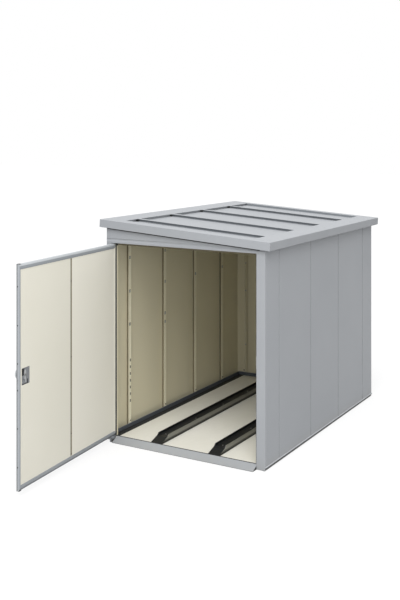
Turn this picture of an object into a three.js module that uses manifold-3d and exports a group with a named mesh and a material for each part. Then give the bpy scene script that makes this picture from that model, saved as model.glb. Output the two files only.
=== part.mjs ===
// Bicycle locker: a steel cabin for two bicycles with a mono-pitch roof, a double-skin door on pivot
// hinges, and two raised wheel channels on its floor. Units are millimetres, +Z is up. The origin is the
// centre of the footprint on the ground, the door is in the -Y side and stands open as photographed.

import * as THREE from 'three';
import { mergeVertices } from 'three/addons/utils/BufferGeometryUtils.js';
import Module from 'manifold-3d';

const wasm = await Module();
wasm.setup();

// Body and roof
const bodyWidth = 1267;
const bodyDepth = 2000;
const roofLow = 1493;
const roofRise = 83;
const sheet = 1.2;
const frameSheet = 1.5;
const baseSheet = 2;
const bendRadius = 3;
const bendSteps = 3;
const gap = 0.3;
const overrun = 5;

// Base rails, threshold and ramp
const railProtrusion = 4;
const railSetback = 3;
const railFootWidth = 24;
const railNoseLow = 15;
const railNoseHigh = 20;
const railLedgeHeight = 26;
const railUpstandTop = 54;
const railUpstandInset = 31;
const railLip = 5;
const sillTop = 31;
const sillLip = 7;
const sillDepth = 26;
const rampReach = 48;
const rampInset = 17;
const rampHem = 4;
const thresholdDepth = 42;
const thresholdLip = 12;
const floorTop = 24;
const floorSkirt = 14;
const bearerWidth = 60;
const bearerLip = 15;
const bearerShares = [0.09, 0.5, 0.91];

// Walls
const postRight = 65;
const postLeft = 40;
const rightSeamShares = [0.106, 0.369, 0.631, 0.894];
const leftSeamShares = [0.126, 0.368, 0.602, 0.831];
const backSeamShares = [0.071, 0.5, 0.929];
const seamGap = 1.4;
const seamRadius = 4.5;
const wallDepth = 28;
const wallLip = 16;
const jambDepth = 28;
const stopRight = 15;
const stopLeft = 31;
const stopReturn = 14;
const legClearance = 2;
const slotCount = 7;
const slotPitch = 50;
const slotHeight = 20;
const slotWidth = 12;
const slotFirst = 215;

// Lintel
const lintelDrop = 83;
const lintelBead = 3;
const lintelBeadTop = 34;
const lintelBeadBottom = 15;
const lintelStop = 14;

// Roof frame, pans and rib caps
const overhangFront = 24;
const overhangBack = 28;
const overhangLeft = 44;
const overhangRight = 50;
const fasciaHeight = 57;
const fasciaLip = 14;
const stripFront = 94;
const stripBack = 78;
const stripLeft = 165;
const stripRight = 154;
const recess = 18;
const recessEndSlope = 48;
const recessSideSlope = 1;
const panUndercut = 15;
const panUndercutLeft = 12;
const panFlange = 2.5;
const ribShares = [0.0798, 0.3271, 0.5745, 0.8218];
const ribWidth = 36;

// Wheel channels
const channelSpacing = 462;
const channelWidth = 88;
const channelHeight = 48;
const grooveDepth = 17;
const channelRim = 7;
const channelSheet = 2;
const channelFrontGap = 6;
const channelNose = 96;
const channelNoseRise = 4;
const channelRimTaper = 14;
const channelBackGap = 40;

// Door leaf and its opening
const leafBottom = 34;
const leafTopGap = 5;
const leafThickness = 22;
const openAngle = 84.6;
const pivotInset = 11;
const hingeGap = 3.5;
const lockGap = 3.4;
const leafSheet = 1.5;
const leafBend = 5;
const stileBorder = 15;
const bottomBorder = 33;
const topBorder = 33;
const leafChamfer = 5;
const chamferShare = 0.4;
const flangeShare = 0.8;
const flangeDip = 1.2;
const skinInset = 1.8;
const borderOverlap = 8;
const seamWidth = 20;
const mullionWidth = 44;
const mullionLip = 14;

// Pivot hinges
const pinDiameter = 8;
const pinLength = 21;
const pinClearance = 0.8;
const bracketPlate = 3;
const bracketWidth = 56;
const bracketRise = 30;
const bracketLedge = 24;
const bracketReach = 27;
const noseWidth = 19;
const noseReach = 43;
const noseDrop = 13;
const shoeInset = 3;
const shoeLength = 36;
const shoeHeight = 26;
const shoeThickness = 12.8;

// Lock
const lockHeight = 717;
const lockInset = 66;
const windowInset = 30;
const windowWidth = 81;
const windowHeight = 103;
const caseMargin = 8;
const caseEdgeGap = 4.5;
const caseThickness = 14;
const caseWall = 2;
const spindleDiameter = 18;
const spindleRise = 7;
const spindleSquare = 12;
const camLength = 25;
const camTail = 30;
const camWidth = 14;
const camThickness = 1.2;
const boltDrop = 18;
const boltHeight = 22;
const boltThickness = 8;
const boltLength = 84;
const boltClearance = 0.5;
const boltRetracted = 1;
const roseDiameter = 58;
const roseThickness = 5;
const knobDiameter = 62;
const knobNeck = 30;
const knobProtrusion = 39;
const knobHead = 18;
const plugDiameter = 20;
const plugProud = 1.5;
const plugDepth = 14;
const keywayWidth = 2.4;
const keywayHeight = 9;
const keywayDepth = 5;
const strikeHeight = 82;
const strikeThickness = 2;
const screwDiameter = 4.5;
const roundSides = 32;
const pinSides = 24;

// Derived places
const halfWidth = bodyWidth / 2;
const halfDepth = bodyDepth / 2;
const roofHigh = roofLow + roofRise;
const roofTilt = Math.atan(roofRise / bodyWidth);
const roofMiddle = (roofLow + roofHigh) / 2;
const lintelBottom = roofLow - lintelDrop;
const openingLeft = -halfWidth + postLeft;
const openingRight = halfWidth - postRight;
const skinBack = skinInset + sheet;
const linerFace = leafThickness - flangeDip - leafSheet - gap;
const linerBack = linerFace - sheet;
const caseBack = linerBack - gap;
const boltMiddle = caseBack - caseThickness / 2;
const shoeFront = skinBack + gap;
const pivotDepth = shoeFront + shoeThickness / 2;
const pivotX = openingLeft + hingeGap + pivotInset;
const pivotY = -halfDepth + pivotDepth;
const leafWidth = openingRight - openingLeft - hingeGap - lockGap;
const leafHeight = lintelBottom - leafTopGap - leafBottom;
const wallBottom = railLedgeHeight + gap;
const roofClearance = frameSheet + gap;

// Finishes
const greyPaint = { color: 0xa9adb1, roughness: 0.42, metalness: 0.35 };
const creamPaint = { color: 0xdcd9cc, roughness: 0.55, metalness: 0.05 };
const galvanised = { color: 0xb9bcbd, roughness: 0.4, metalness: 0.85 };
const darkSteel = { color: 0x3b3d3f, roughness: 0.5, metalness: 0.6 };
const steel = { color: 0x8c9094, roughness: 0.3, metalness: 0.9 };
const chrome = { color: 0xc4c7ca, roughness: 0.18, metalness: 1 };

const locker = new THREE.Group();

function piece(parent, name, geometry, finish) {
  const mesh = new THREE.Mesh(geometry, new THREE.MeshStandardMaterial(finish));
  mesh.name = name;
  parent.add(mesh);
  return mesh;
}

function place(parent, x, y, z) {
  const group = new THREE.Group();
  group.position.set(x, y, z);
  parent.add(group);
  return group;
}

// Solids and cuts

function toSolid(geometry) {
  const bare = geometry.clone();
  bare.deleteAttribute('normal');
  bare.deleteAttribute('uv');
  const merged = mergeVertices(bare);
  const vertProperties = new Float32Array(merged.attributes.position.array);
  const triVerts = new Uint32Array(merged.index.array);
  return new wasm.Manifold(new wasm.Mesh({ numProp: 3, vertProperties, triVerts }));
}

function toGeometry(solid) {
  const mesh = solid.getMesh();
  const geometry = new THREE.BufferGeometry();
  geometry.setAttribute('position', new THREE.BufferAttribute(new Float32Array(mesh.vertProperties), 3));
  geometry.setIndex(new THREE.BufferAttribute(new Uint32Array(mesh.triVerts), 1));
  geometry.computeVertexNormals();
  return geometry;
}

function cut(geometry, tools) {
  let solid = toSolid(geometry);
  for (const tool of tools) {
    solid = solid.subtract(toSolid(tool));
  }
  return toGeometry(solid);
}

function join(geometry, additions) {
  let solid = toSolid(geometry);
  for (const addition of additions) {
    solid = solid.add(toSolid(addition));
  }
  return toGeometry(solid);
}

function block(x0, x1, y0, y1, z0, z1) {
  const geometry = new THREE.BoxGeometry(x1 - x0, y1 - y0, z1 - z0);
  return geometry.translate((x0 + x1) / 2, (y0 + y1) / 2, (z0 + z1) / 2);
}

function rodZ(diameter, x, y, z0, z1, sides = pinSides) {
  const geometry = new THREE.CylinderGeometry(diameter / 2, diameter / 2, z1 - z0, sides);
  return geometry.rotateX(Math.PI / 2).translate(x, y, (z0 + z1) / 2);
}

function rodY(diameter, x, z, y0, y1, sides = pinSides) {
  const geometry = new THREE.CylinderGeometry(diameter / 2, diameter / 2, y1 - y0, sides);
  return geometry.translate(x, (y0 + y1) / 2, z);
}

function rodX(diameter, y, z, x0, x1, sides = pinSides) {
  const geometry = new THREE.CylinderGeometry(diameter / 2, diameter / 2, x1 - x0, sides);
  return geometry.rotateZ(Math.PI / 2).translate((x0 + x1) / 2, y, z);
}

// Folded sheet: an outer path with rounded bends, and the sheet's thickness on the left of its direction

function roundedPath(points, radius) {
  const path = [points[0]];
  for (let i = 1; i < points.length - 1; i += 1) {
    const corner = points[i];
    const back = points[i - 1].clone().sub(corner);
    const ahead = points[i + 1].clone().sub(corner);
    const angle = Math.acos(back.dot(ahead) / (back.length() * ahead.length()));
    const reach = Math.min(radius / Math.tan(angle / 2), back.length() / 2, ahead.length() / 2);
    const start = corner.clone().add(back.clone().setLength(reach));
    const end = corner.clone().add(ahead.clone().setLength(reach));
    const curve = new THREE.QuadraticBezierCurve(start, corner, end);
    path.push(...curve.getPoints(bendSteps));
  }
  path.push(points[points.length - 1]);
  return path;
}

function offsetPoint(path, index, distance) {
  const here = path[index];
  const before = path[Math.max(index - 1, 0)];
  const after = path[Math.min(index + 1, path.length - 1)];
  const into = index > 0 ? here.clone().sub(before).normalize() : after.clone().sub(here).normalize();
  const out = index < path.length - 1 ? after.clone().sub(here).normalize() : into.clone();
  const normal = new THREE.Vector2(-into.y - out.y, into.x + out.x).normalize();
  const stretch = normal.dot(new THREE.Vector2(-into.y, into.x));
  return here.clone().add(normal.multiplyScalar(distance / stretch));
}

function sheetShape(corners, thickness, radius = bendRadius) {
  const points = corners.map(([x, y]) => new THREE.Vector2(x, y));
  const path = roundedPath(points, radius);
  const inner = path.map((point, index) => offsetPoint(path, index, thickness));
  return new THREE.Shape([...path, ...inner.reverse()]);
}

function prism(shape, length) {
  return new THREE.ExtrudeGeometry(shape, { depth: length, bevelEnabled: false });
}

// A rail runs along X, with its profile in Y and Z and its middle at the origin

function rail(shape, length, startMitre = 0, endMitre = 0, clearance = 0) {
  const geometry = prism(shape, length);
  geometry.applyMatrix4(new THREE.Matrix4().set(0, 0, 1, 0, 1, 0, 0, 0, 0, 1, 0, 0, 0, 0, 0, 1));
  const position = geometry.attributes.position;
  for (let i = 0; i < position.count; i += 1) {
    const inward = position.getY(i);
    const atStart = position.getX(i) < length / 2;
    const x = atStart ? clearance + startMitre * inward : length - clearance - endMitre * inward;
    position.setX(i, x - length / 2);
  }
  geometry.computeVertexNormals();
  return geometry;
}

// A tray is lofted through rectangles [x0, x1, y0, y1, z], from its inner floor to its underside

function ringLoft(rings) {
  const vertices = [];
  for (const ring of rings) {
    for (const [x, y, z] of ring) {
      vertices.push(x, y, z);
    }
  }
  const sides = rings[0].length;
  const faces = [];
  for (let r = 0; r < rings.length - 1; r += 1) {
    for (let i = 0; i < sides; i += 1) {
      const a = r * sides + i;
      const b = r * sides + ((i + 1) % sides);
      faces.push(a, a + sides, b);
      faces.push(b, a + sides, b + sides);
    }
  }
  return { vertices, faces, sides };
}

function tray(rectangles) {
  const rings = rectangles.map(([x0, x1, y0, y1, z]) => [[x0, y0, z], [x1, y0, z], [x1, y1, z], [x0, y1, z]]);
  const { vertices, faces } = ringLoft(rings);
  const last = (rings.length - 1) * rings[0].length;
  faces.push(0, 1, 2);
  faces.push(0, 2, 3);
  faces.push(last, last + 2, last + 1);
  faces.push(last, last + 3, last + 2);
  return indexed(vertices, faces);
}

function indexed(vertices, faces) {
  const geometry = new THREE.BufferGeometry();
  geometry.setAttribute('position', new THREE.Float32BufferAttribute(vertices, 3));
  geometry.setIndex(faces);
  geometry.computeVertexNormals();
  return geometry;
}

// Base: rails under the walls, threshold, ramp, bearers and floor

function railShape() {
  return sheetShape([
    [railFootWidth, 0],
    [railSetback, 0],
    [railSetback, railNoseLow],
    [-railProtrusion, railNoseLow],
    [-railProtrusion, railNoseHigh],
    [0, railLedgeHeight],
    [railUpstandInset, railLedgeHeight],
    [railUpstandInset, railUpstandTop],
    [railUpstandInset + railLip, railUpstandTop],
  ].reverse(), baseSheet);
}

function buildBase() {
  const base = place(locker, 0, 0, 0);
  const frontClearance = sheet + gap;
  const sideLength = bodyDepth - frontClearance;
  const shape = railShape();

  const right = piece(base, 'base_rail_right', rail(shape, sideLength, 0, 1, 0), greyPaint);
  right.rotation.z = Math.PI / 2;
  right.position.set(halfWidth, frontClearance / 2, 0);

  const left = piece(base, 'base_rail_left', rail(shape, sideLength, 1, 0, 0), greyPaint);
  left.rotation.z = -Math.PI / 2;
  left.position.set(-halfWidth, frontClearance / 2, 0);

  const back = piece(base, 'base_rail_back', rail(shape, bodyWidth, 1, 1, gap), greyPaint);
  back.rotation.z = Math.PI;
  back.position.set(0, halfDepth, 0);

  buildSill(base);
  buildFloor(base);
}

function sillRange() {
  const x0 = pivotX + bracketReach;
  const x1 = openingRight - gap;
  return { x0, x1 };
}

function buildSill(base) {
  const { x0, x1 } = sillRange();
  const ramp = sheetShape([
    [-halfDepth - rampReach, 0],
    [-halfDepth - rampReach, rampHem],
    [-halfDepth + rampInset, sillTop],
    [-halfDepth + sillDepth, sillTop],
    [-halfDepth + sillDepth, sillTop - sillLip],
  ].reverse(), frameSheet, frameSheet + gap);
  const rampPiece = piece(base, 'sill_ramp', rail(ramp, x1 - x0), greyPaint);
  rampPiece.position.x = (x0 + x1) / 2;

  const top = sillTop - frameSheet - gap;
  const front = -halfDepth + rampInset + gap;
  const rear = -halfDepth + sillDepth - frameSheet - gap * 2;
  const threshold = sheetShape([
    [front + thresholdLip, 0],
    [front, 0],
    [front, top],
    [rear, top],
    [rear, floorTop - baseSheet],
    [-halfDepth + thresholdDepth, floorTop - baseSheet],
  ].reverse(), frameSheet, frameSheet + gap);
  const thresholdPiece = piece(base, 'threshold', rail(threshold, x1 - x0), greyPaint);
  thresholdPiece.position.x = (x0 + x1) / 2;
}

function floorRange() {
  const inset = railUpstandInset + baseSheet + railLip + gap;
  return {
    x0: -halfWidth + inset,
    x1: halfWidth - inset,
    y0: -halfDepth + sillDepth + gap,
    y1: halfDepth - inset,
  };
}

function buildFloor(base) {
  const { x0, x1, y0, y1 } = floorRange();
  const top = floorTop - sheet - gap;
  const bearer = sheetShape([
    [-bearerWidth / 2 - bearerLip, top - baseSheet],
    [-bearerWidth / 2, top - baseSheet],
    [-bearerWidth / 2, 0],
    [bearerWidth / 2, 0],
    [bearerWidth / 2, top - baseSheet],
    [bearerWidth / 2 + bearerLip, top - baseSheet],
  ], baseSheet);
  const bearerLength = x1 - x0 - 2 * bendRadius;
  bearerShares.forEach((share, index) => {
    const mesh = piece(base, `floor_bearer_${index + 1}`, rail(bearer, bearerLength), galvanised);
    mesh.position.set(0, y0 + share * (y1 - y0), 0);
  });

  const names = ['floor_panel_front', 'floor_panel_back'];
  const depth = (y1 - y0) / names.length;
  names.forEach((name, index) => {
    const start = y0 + index * depth + gap / 2;
    const panel = sheetShape([
      [x0, floorTop - floorSkirt],
      [x0, floorTop],
      [x1, floorTop],
      [x1, floorTop - floorSkirt],
    ].reverse(), sheet);
    const geometry = prism(panel, depth - gap);
    const mesh = piece(base, name, geometry.rotateX(Math.PI / 2), creamPaint);
    mesh.position.y = start + depth - gap;
  });
}

// Walls: C-edged panels whose flanges meet as ribs inside, cut to the slope of the roof

function roofCutter() {
  const reach = bodyWidth + bodyDepth;
  const cutter = block(-reach, reach, -reach, reach, -roofClearance, reach);
  return cutter.rotateY(roofTilt).translate(0, 0, roofMiddle);
}

function wallGeometry(corners, tools = []) {
  const tall = prism(sheetShape(corners, sheet, seamRadius), roofHigh + overrun - wallBottom);
  tall.translate(0, 0, wallBottom);
  return cut(tall, [roofCutter(), ...tools]);
}

function panelCorners(start, end) {
  return [
    [start + wallLip, wallDepth],
    [start, wallDepth],
    [start, 0],
    [end, 0],
    [end, wallDepth],
    [end - wallLip, wallDepth],
  ];
}

function onWall(corners, angle, x, y) {
  const turn = new THREE.Vector2(0, 0);
  return corners.map(([along, inward]) => {
    const point = new THREE.Vector2(along, inward).rotateAround(turn, angle);
    return [point.x + x, point.y + y];
  });
}

function seamSpans(shares, length) {
  const seams = shares.map((share) => share * length);
  return seams.slice(1).map((end, index) => [seams[index] + seamGap / 2, end - seamGap / 2]);
}

function buildWalls() {
  const walls = place(locker, 0, 0, 0);
  seamSpans(rightSeamShares, bodyDepth).forEach(([start, end], index) => {
    const corners = onWall(panelCorners(start, end), Math.PI / 2, halfWidth, -halfDepth);
    piece(walls, `side_panel_right_${index + 1}`, wallGeometry(corners), greyPaint);
  });
  seamSpans(leftSeamShares, bodyDepth).forEach(([start, end], index) => {
    const flat = panelCorners(bodyDepth - end, bodyDepth - start);
    const corners = onWall(flat, -Math.PI / 2, -halfWidth, halfDepth);
    const slots = index === 0 ? shelfSlots(start) : [];
    piece(walls, `side_panel_left_${index + 1}`, wallGeometry(corners, slots), greyPaint);
  });
  seamSpans(backSeamShares, bodyWidth).forEach(([start, end], index) => {
    const corners = onWall(panelCorners(start, end), Math.PI, halfWidth, halfDepth);
    piece(walls, `back_panel_${index === 0 ? 'right' : 'left'}`, wallGeometry(corners), greyPaint);
  });
  buildCorners(walls);
  buildLintel(walls);
}

function shelfSlots(panelStart) {
  const slots = [];
  const y = -halfDepth + panelStart + wallLip / 2;
  const x = -halfWidth + wallDepth;
  for (let i = 0; i < slotCount; i += 1) {
    const z = slotFirst + i * slotPitch;
    slots.push(block(
      x - sheet * 2, x + overrun, y - slotWidth / 2, y + slotWidth / 2, z - slotHeight / 2, z + slotHeight / 2,
    ));
  }
  return slots;
}

function mirrored(corners) {
  return corners.map(([x, y]) => [-x, y]).reverse();
}

function frontCorner(postWidth, stopWidth, seamShare) {
  const jamb = halfWidth - postWidth;
  const legEnd = -halfDepth + seamShare * bodyDepth - seamGap / 2;
  return [
    [jamb - stopWidth, -halfDepth + jambDepth + stopReturn],
    [jamb - stopWidth, -halfDepth + jambDepth],
    [jamb, -halfDepth + jambDepth],
    [jamb, -halfDepth],
    [halfWidth, -halfDepth],
    [halfWidth, legEnd],
    [halfWidth - wallDepth, legEnd],
    [halfWidth - wallDepth, legEnd - wallLip],
  ];
}

function backCorner(sideShare) {
  const sideEnd = -halfDepth + sideShare * bodyDepth + seamGap / 2;
  const backEnd = halfWidth - backSeamShares[0] * bodyWidth + seamGap / 2;
  return [
    [halfWidth - wallDepth, sideEnd + wallLip],
    [halfWidth - wallDepth, sideEnd],
    [halfWidth, sideEnd],
    [halfWidth, halfDepth],
    [backEnd, halfDepth],
    [backEnd, halfDepth - wallDepth],
    [backEnd + wallLip, halfDepth - wallDepth],
  ];
}

function frontCornerGeometry(postWidth, stopWidth, seamShare, side) {
  const rightHand = frontCorner(postWidth, stopWidth, seamShare);
  const corners = side > 0 ? rightHand : mirrored(rightHand);
  const tall = prism(sheetShape(corners, sheet), roofHigh + overrun - legClearance);
  tall.translate(0, 0, legClearance);
  const behind = -halfDepth + sheet + gap / 2;
  const jamb = side * (halfWidth - postWidth);
  const outer = side * (halfWidth + overrun);
  const inner = side * (halfWidth - postWidth - stopWidth - overrun);
  const span = (a, b) => [Math.min(a, b), Math.max(a, b)];
  const overRail = block(...span(inner, outer), behind, halfDepth, -overrun, wallBottom);
  const overSill = block(
    ...span(inner, jamb + side * (sheet + gap)), behind, halfDepth, -overrun, sillTop + gap,
  );
  const underLintel = block(
    ...span(inner, side * (halfWidth - sheet - gap)), -halfDepth - overrun,
    -halfDepth + jambDepth + stopReturn + overrun, lintelBottom - gap, roofHigh + overrun,
  );
  const tools = [roofCutter(), overRail, overSill, underLintel];
  if (side > 0) {
    tools.push(boltOpening(strikeBoltHole()));
  }
  return cut(tall, tools);
}

function boltOpening(margin) {
  const height = lockHeight - boltDrop;
  const y = -halfDepth + boltMiddle;
  return block(
    openingRight - overrun, openingRight + sheet + overrun,
    y - boltThickness / 2 - margin, y + boltThickness / 2 + margin,
    height - boltHeight / 2 - margin, height + boltHeight / 2 + margin,
  );
}

function strikeBoltHole() {
  return sheet + boltClearance * 2;
}

function buildCorners(walls) {
  const last = rightSeamShares.length - 1;
  const frontRight = frontCornerGeometry(postRight, stopRight, rightSeamShares[0], 1);
  const frontLeft = frontCornerGeometry(postLeft, stopLeft, leftSeamShares[0], -1);
  const backRight = wallGeometry(backCorner(rightSeamShares[last]));
  const backLeft = wallGeometry(mirrored(backCorner(leftSeamShares[last])));
  piece(walls, 'corner_panel_front_right', frontRight, greyPaint);
  piece(walls, 'corner_panel_front_left', frontLeft, greyPaint);
  piece(walls, 'corner_panel_back_right', backRight, greyPaint);
  piece(walls, 'corner_panel_back_left', backLeft, greyPaint);
}

function buildLintel(walls) {
  const shape = sheetShape([
    [-halfDepth, roofHigh + overrun],
    [-halfDepth, lintelBottom + lintelBeadTop],
    [-halfDepth + lintelBead, lintelBottom + lintelBeadTop - lintelBead * 2],
    [-halfDepth + lintelBead, lintelBottom + lintelBeadBottom + lintelBead],
    [-halfDepth, lintelBottom + lintelBeadBottom],
    [-halfDepth, lintelBottom],
    [-halfDepth + jambDepth, lintelBottom],
    [-halfDepth + jambDepth, lintelBottom - lintelStop],
  ], sheet, sheet + gap);
  const length = bodyWidth - 2 * (sheet + gap);
  const stopTrim = (side, postWidth, stopWidth) => {
    const jamb = halfWidth - postWidth - stopWidth - gap;
    const [x0, x1] = side > 0 ? [jamb, bodyWidth] : [-bodyWidth, -jamb];
    return block(x0, x1, -halfDepth - overrun, 0, 0, lintelBottom - gap / 2);
  };
  const tools = [roofCutter(), stopTrim(1, postRight, stopRight), stopTrim(-1, postLeft, stopLeft)];
  piece(walls, 'lintel', cut(rail(shape, length), tools), greyPaint);
}

// Roof: a mitred fascia frame with its top strip, recessed pans between ribs, and caps on the ribs

function fasciaShape(stripWidth) {
  return sheetShape([
    [stripWidth, 0],
    [0, 0],
    [0, -fasciaHeight],
    [fasciaLip, -fasciaHeight],
  ], frameSheet);
}

function buildRoof() {
  const roof = place(locker, 0, 0, roofMiddle);
  roof.rotation.y = roofTilt;
  const x0 = -halfWidth - overhangLeft;
  const x1 = halfWidth + overhangRight;
  const y0 = -halfDepth - overhangFront;
  const y1 = halfDepth + overhangBack;
  const midX = (x0 + x1) / 2;
  const midY = (y0 + y1) / 2;
  const sides = [
    { name: 'fascia_front', strip: stripFront, before: stripLeft, after: stripRight, at: [midX, y0] },
    { name: 'fascia_right', strip: stripRight, before: stripFront, after: stripBack, at: [x1, midY] },
    { name: 'fascia_back', strip: stripBack, before: stripRight, after: stripLeft, at: [midX, y1] },
    { name: 'fascia_left', strip: stripLeft, before: stripBack, after: stripFront, at: [x0, midY] },
  ];
  sides.forEach(({ name, strip, before, after, at }, index) => {
    const length = index % 2 === 0 ? x1 - x0 : y1 - y0;
    const geometry = rail(fasciaShape(strip), length, before / strip, after / strip, gap);
    const mesh = piece(roof, name, geometry, greyPaint);
    mesh.rotation.z = (index * Math.PI) / 2;
    mesh.position.set(at[0], at[1], 0);
  });

  const inner = { x0: x0 + stripLeft, x1: x1 - stripRight, y0: y0 + stripFront, y1: y1 - stripBack };
  buildPans(roof, inner);
}

function buildPans(roof, inner) {
  const rim = -frameSheet - gap;
  const ribs = ribShares.map((share) => inner.y0 + share * (inner.y1 - inner.y0));
  ribs.forEach((rib, index) => {
    const cap = block(inner.x0 + gap, inner.x1 - gap, rib, rib + ribWidth, rim + gap, 0);
    piece(roof, `rib_cap_${index + 1}`, cap, greyPaint);
  });
  const starts = [inner.y0, ...ribs.map((rib) => rib + ribWidth)];
  const ends = [...ribs.map((rib) => rib + panUndercut), inner.y1];
  starts.forEach((start, index) => {
    const pan = panGeometry(inner.x0 - panUndercutLeft, inner.x1, start - panUndercut, ends[index], rim);
    piece(roof, `roof_pan_${index + 1}`, pan, greyPaint);
  });
}

// A pan's walls stand under the strips and rib caps, except for its end on the right, which is a slope

function panGeometry(x0, x1, y0, y1, rim) {
  const floor = -recess;
  const side = recessSideSlope;
  const right = recessEndSlope;
  const under = sheet;
  return tray([
    [x0 + side, x1 - right, y0 + side, y1 - side, floor],
    [x0, x1, y0, y1, rim],
    [x0 - panFlange, x1 + panFlange, y0 - panFlange, y1 + panFlange, rim],
    [x0 - panFlange, x1 + panFlange, y0 - panFlange, y1 + panFlange, rim - under],
    [x0 - under, x1 + under, y0 - under, y1 + under, rim - under],
    [x0 + side - under, x1 - right + under, y0 + side - under, y1 - side + under, floor - under],
  ]);
}

// Wheel channels: one folded strip whose rims stand above a shallow groove, squashed to a nose in front

function channelShape() {
  const half = channelWidth / 2;
  const web = channelHeight - grooveDepth;
  return sheetShape([
    [-half, 0],
    [-half, channelHeight],
    [-half + channelRim, channelHeight],
    [-half + channelRim, web],
    [half - channelRim, web],
    [half - channelRim, channelHeight],
    [half, channelHeight],
    [half, 0],
  ].reverse(), channelSheet, channelSheet + gap);
}

function channelGeometry(length) {
  const outline = channelShape().getPoints();
  const web = channelHeight - grooveDepth;
  const flat = channelNoseRise / channelHeight;
  const stations = [
    { y: 0, rise: channelNoseRise / web, rimRise: flat },
    { y: channelNose - channelRimTaper, rise: 1, rimRise: flat },
    { y: channelNose, rise: 1, rimRise: 1 },
    { y: length, rise: 1, rimRise: 1 },
  ];
  const ordered = THREE.ShapeUtils.isClockWise(outline) ? outline.reverse() : outline;
  const height = (z, { rise, rimRise }) => Math.min(z, web) * rise + Math.max(z - web, 0) * rimRise;
  const rings = stations.map((station) => ordered.map(({ x, y }) => [x, station.y, height(y, station)]));
  const { vertices, faces, sides } = ringLoft(rings);
  const caps = THREE.ShapeUtils.triangulateShape(ordered, []);
  const last = (rings.length - 1) * sides;
  for (const [a, b, c] of caps) {
    faces.push(a, b, c);
    faces.push(last + a, last + c, last + b);
  }
  return indexed(vertices, faces);
}

function buildChannels() {
  const floor = floorRange();
  const start = floor.y0 + channelFrontGap;
  const length = floor.y1 - channelBackGap - start;
  for (const [name, side] of [['wheel_channel_left', -1], ['wheel_channel_right', 1]]) {
    const mesh = piece(locker, name, channelGeometry(length), darkSteel);
    mesh.position.set((side * channelSpacing) / 2, start, floorTop + gap);
  }
}

// Pivot brackets on the body, and their pins

function buildPivots() {
  const pivots = place(locker, pivotX, pivotY, 0);
  const left = openingLeft - pivotX;
  const front = -pivotDepth - bracketPlate;
  const ledgeRight = bracketReach - gap * 2;
  const ledgeTop = leafBottom - frameSheet;
  const plate = block(
    ledgeRight - bracketWidth, ledgeRight, front - gap, -pivotDepth - gap, ledgeTop - bracketRise, ledgeTop,
  );
  const ledge = block(
    left + gap, ledgeRight, front - gap, front + bracketLedge, ledgeTop - bracketPlate, ledgeTop,
  );
  const pin = rodZ(pinDiameter, 0, 0, ledgeTop - bracketPlate / 2, ledgeTop + pinLength);
  const nose = block(
    ledgeRight - noseWidth, ledgeRight, front - noseReach, -pivotDepth - gap, ledgeTop - bracketRise,
    ledgeTop - noseDrop,
  );
  piece(pivots, 'hinge_bracket_bottom', join(plate, [ledge, pin, nose]), darkSteel);

  const topPlate = block(
    left + gap, ledgeRight, -pivotDepth + frameSheet, front + bracketLedge,
    lintelBottom - gap - bracketPlate, lintelBottom - gap,
  );
  const topPin = rodZ(
    pinDiameter, 0, 0, lintelBottom - bracketPlate / 2 - pinLength, lintelBottom - bracketPlate / 2,
  );
  piece(pivots, 'hinge_bracket_top', join(topPlate, [topPin]), darkSteel);
}

// Door leaf: drawn closed from its hinge edge and outer face, then swung open about the pins

function leafFrameShape(border) {
  return sheetShape([
    [border, 0],
    [0, 0],
    [0, leafChamfer - leafThickness],
    [border * chamferShare, -leafThickness],
    [border * flangeShare, -leafThickness],
    [border, flangeDip - leafThickness],
  ], leafSheet, leafBend);
}

function buildDoor() {
  const swing = place(locker, pivotX, pivotY, leafBottom);
  swing.rotation.z = -THREE.MathUtils.degToRad(openAngle);
  const leaf = place(swing, -pivotInset, -pivotDepth, 0);
  buildLeafFrame(leaf);
  buildLeafPanels(leaf);
  buildShoes(leaf);
  buildLock(leaf);
}

function buildLeafFrame(leaf) {
  const boltZ = lockHeight - boltDrop - leafBottom;
  const hole = pinDiameter + 2 * pinClearance;
  const boltCut = block(
    boltZ - leafHeight / 2 - boltHeight / 2 - boltClearance,
    boltZ - leafHeight / 2 + boltHeight / 2 + boltClearance,
    -overrun, leafSheet + overrun,
    -boltMiddle - boltThickness / 2 - boltClearance, -boltMiddle + boltThickness / 2 + boltClearance,
  );
  const bottomHole = rodY(hole, pivotInset - leafWidth / 2, -pivotDepth, -overrun, overrun);
  const topHole = rodY(hole, leafWidth / 2 - pivotInset, -pivotDepth, -overrun, overrun);
  const middle = leafWidth / 2;
  const half = leafHeight / 2;
  const sides = [
    { name: 'door_rail_bottom', border: bottomBorder, length: leafWidth, at: [middle, 0], tools: [bottomHole] },
    { name: 'door_stile_lock', border: stileBorder, length: leafHeight, at: [leafWidth, half], tools: [boltCut] },
    { name: 'door_rail_top', border: topBorder, length: leafWidth, at: [middle, leafHeight], tools: [topHole] },
    { name: 'door_stile_hinge', border: stileBorder, length: leafHeight, at: [0, half], tools: [] },
  ];
  sides.forEach(({ name, border, length, at, tools }, index) => {
    const before = sides[(index + sides.length - 1) % sides.length].border;
    const after = sides[(index + 1) % sides.length].border;
    const plain = rail(leafFrameShape(border), length, before / border, after / border, gap);
    const geometry = tools.length > 0 ? cut(plain, tools) : plain;
    const mesh = piece(leaf, name, geometry.rotateX(Math.PI / 2), greyPaint);
    mesh.rotation.y = (-index * Math.PI) / 2;
    mesh.position.set(at[0], 0, at[1]);
  });
}

function lockWindow() {
  const x1 = leafWidth - windowInset;
  const z = lockHeight - leafBottom;
  return { x0: x1 - windowWidth, x1, z0: z - windowHeight / 2, z1: z + windowHeight / 2 };
}

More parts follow.
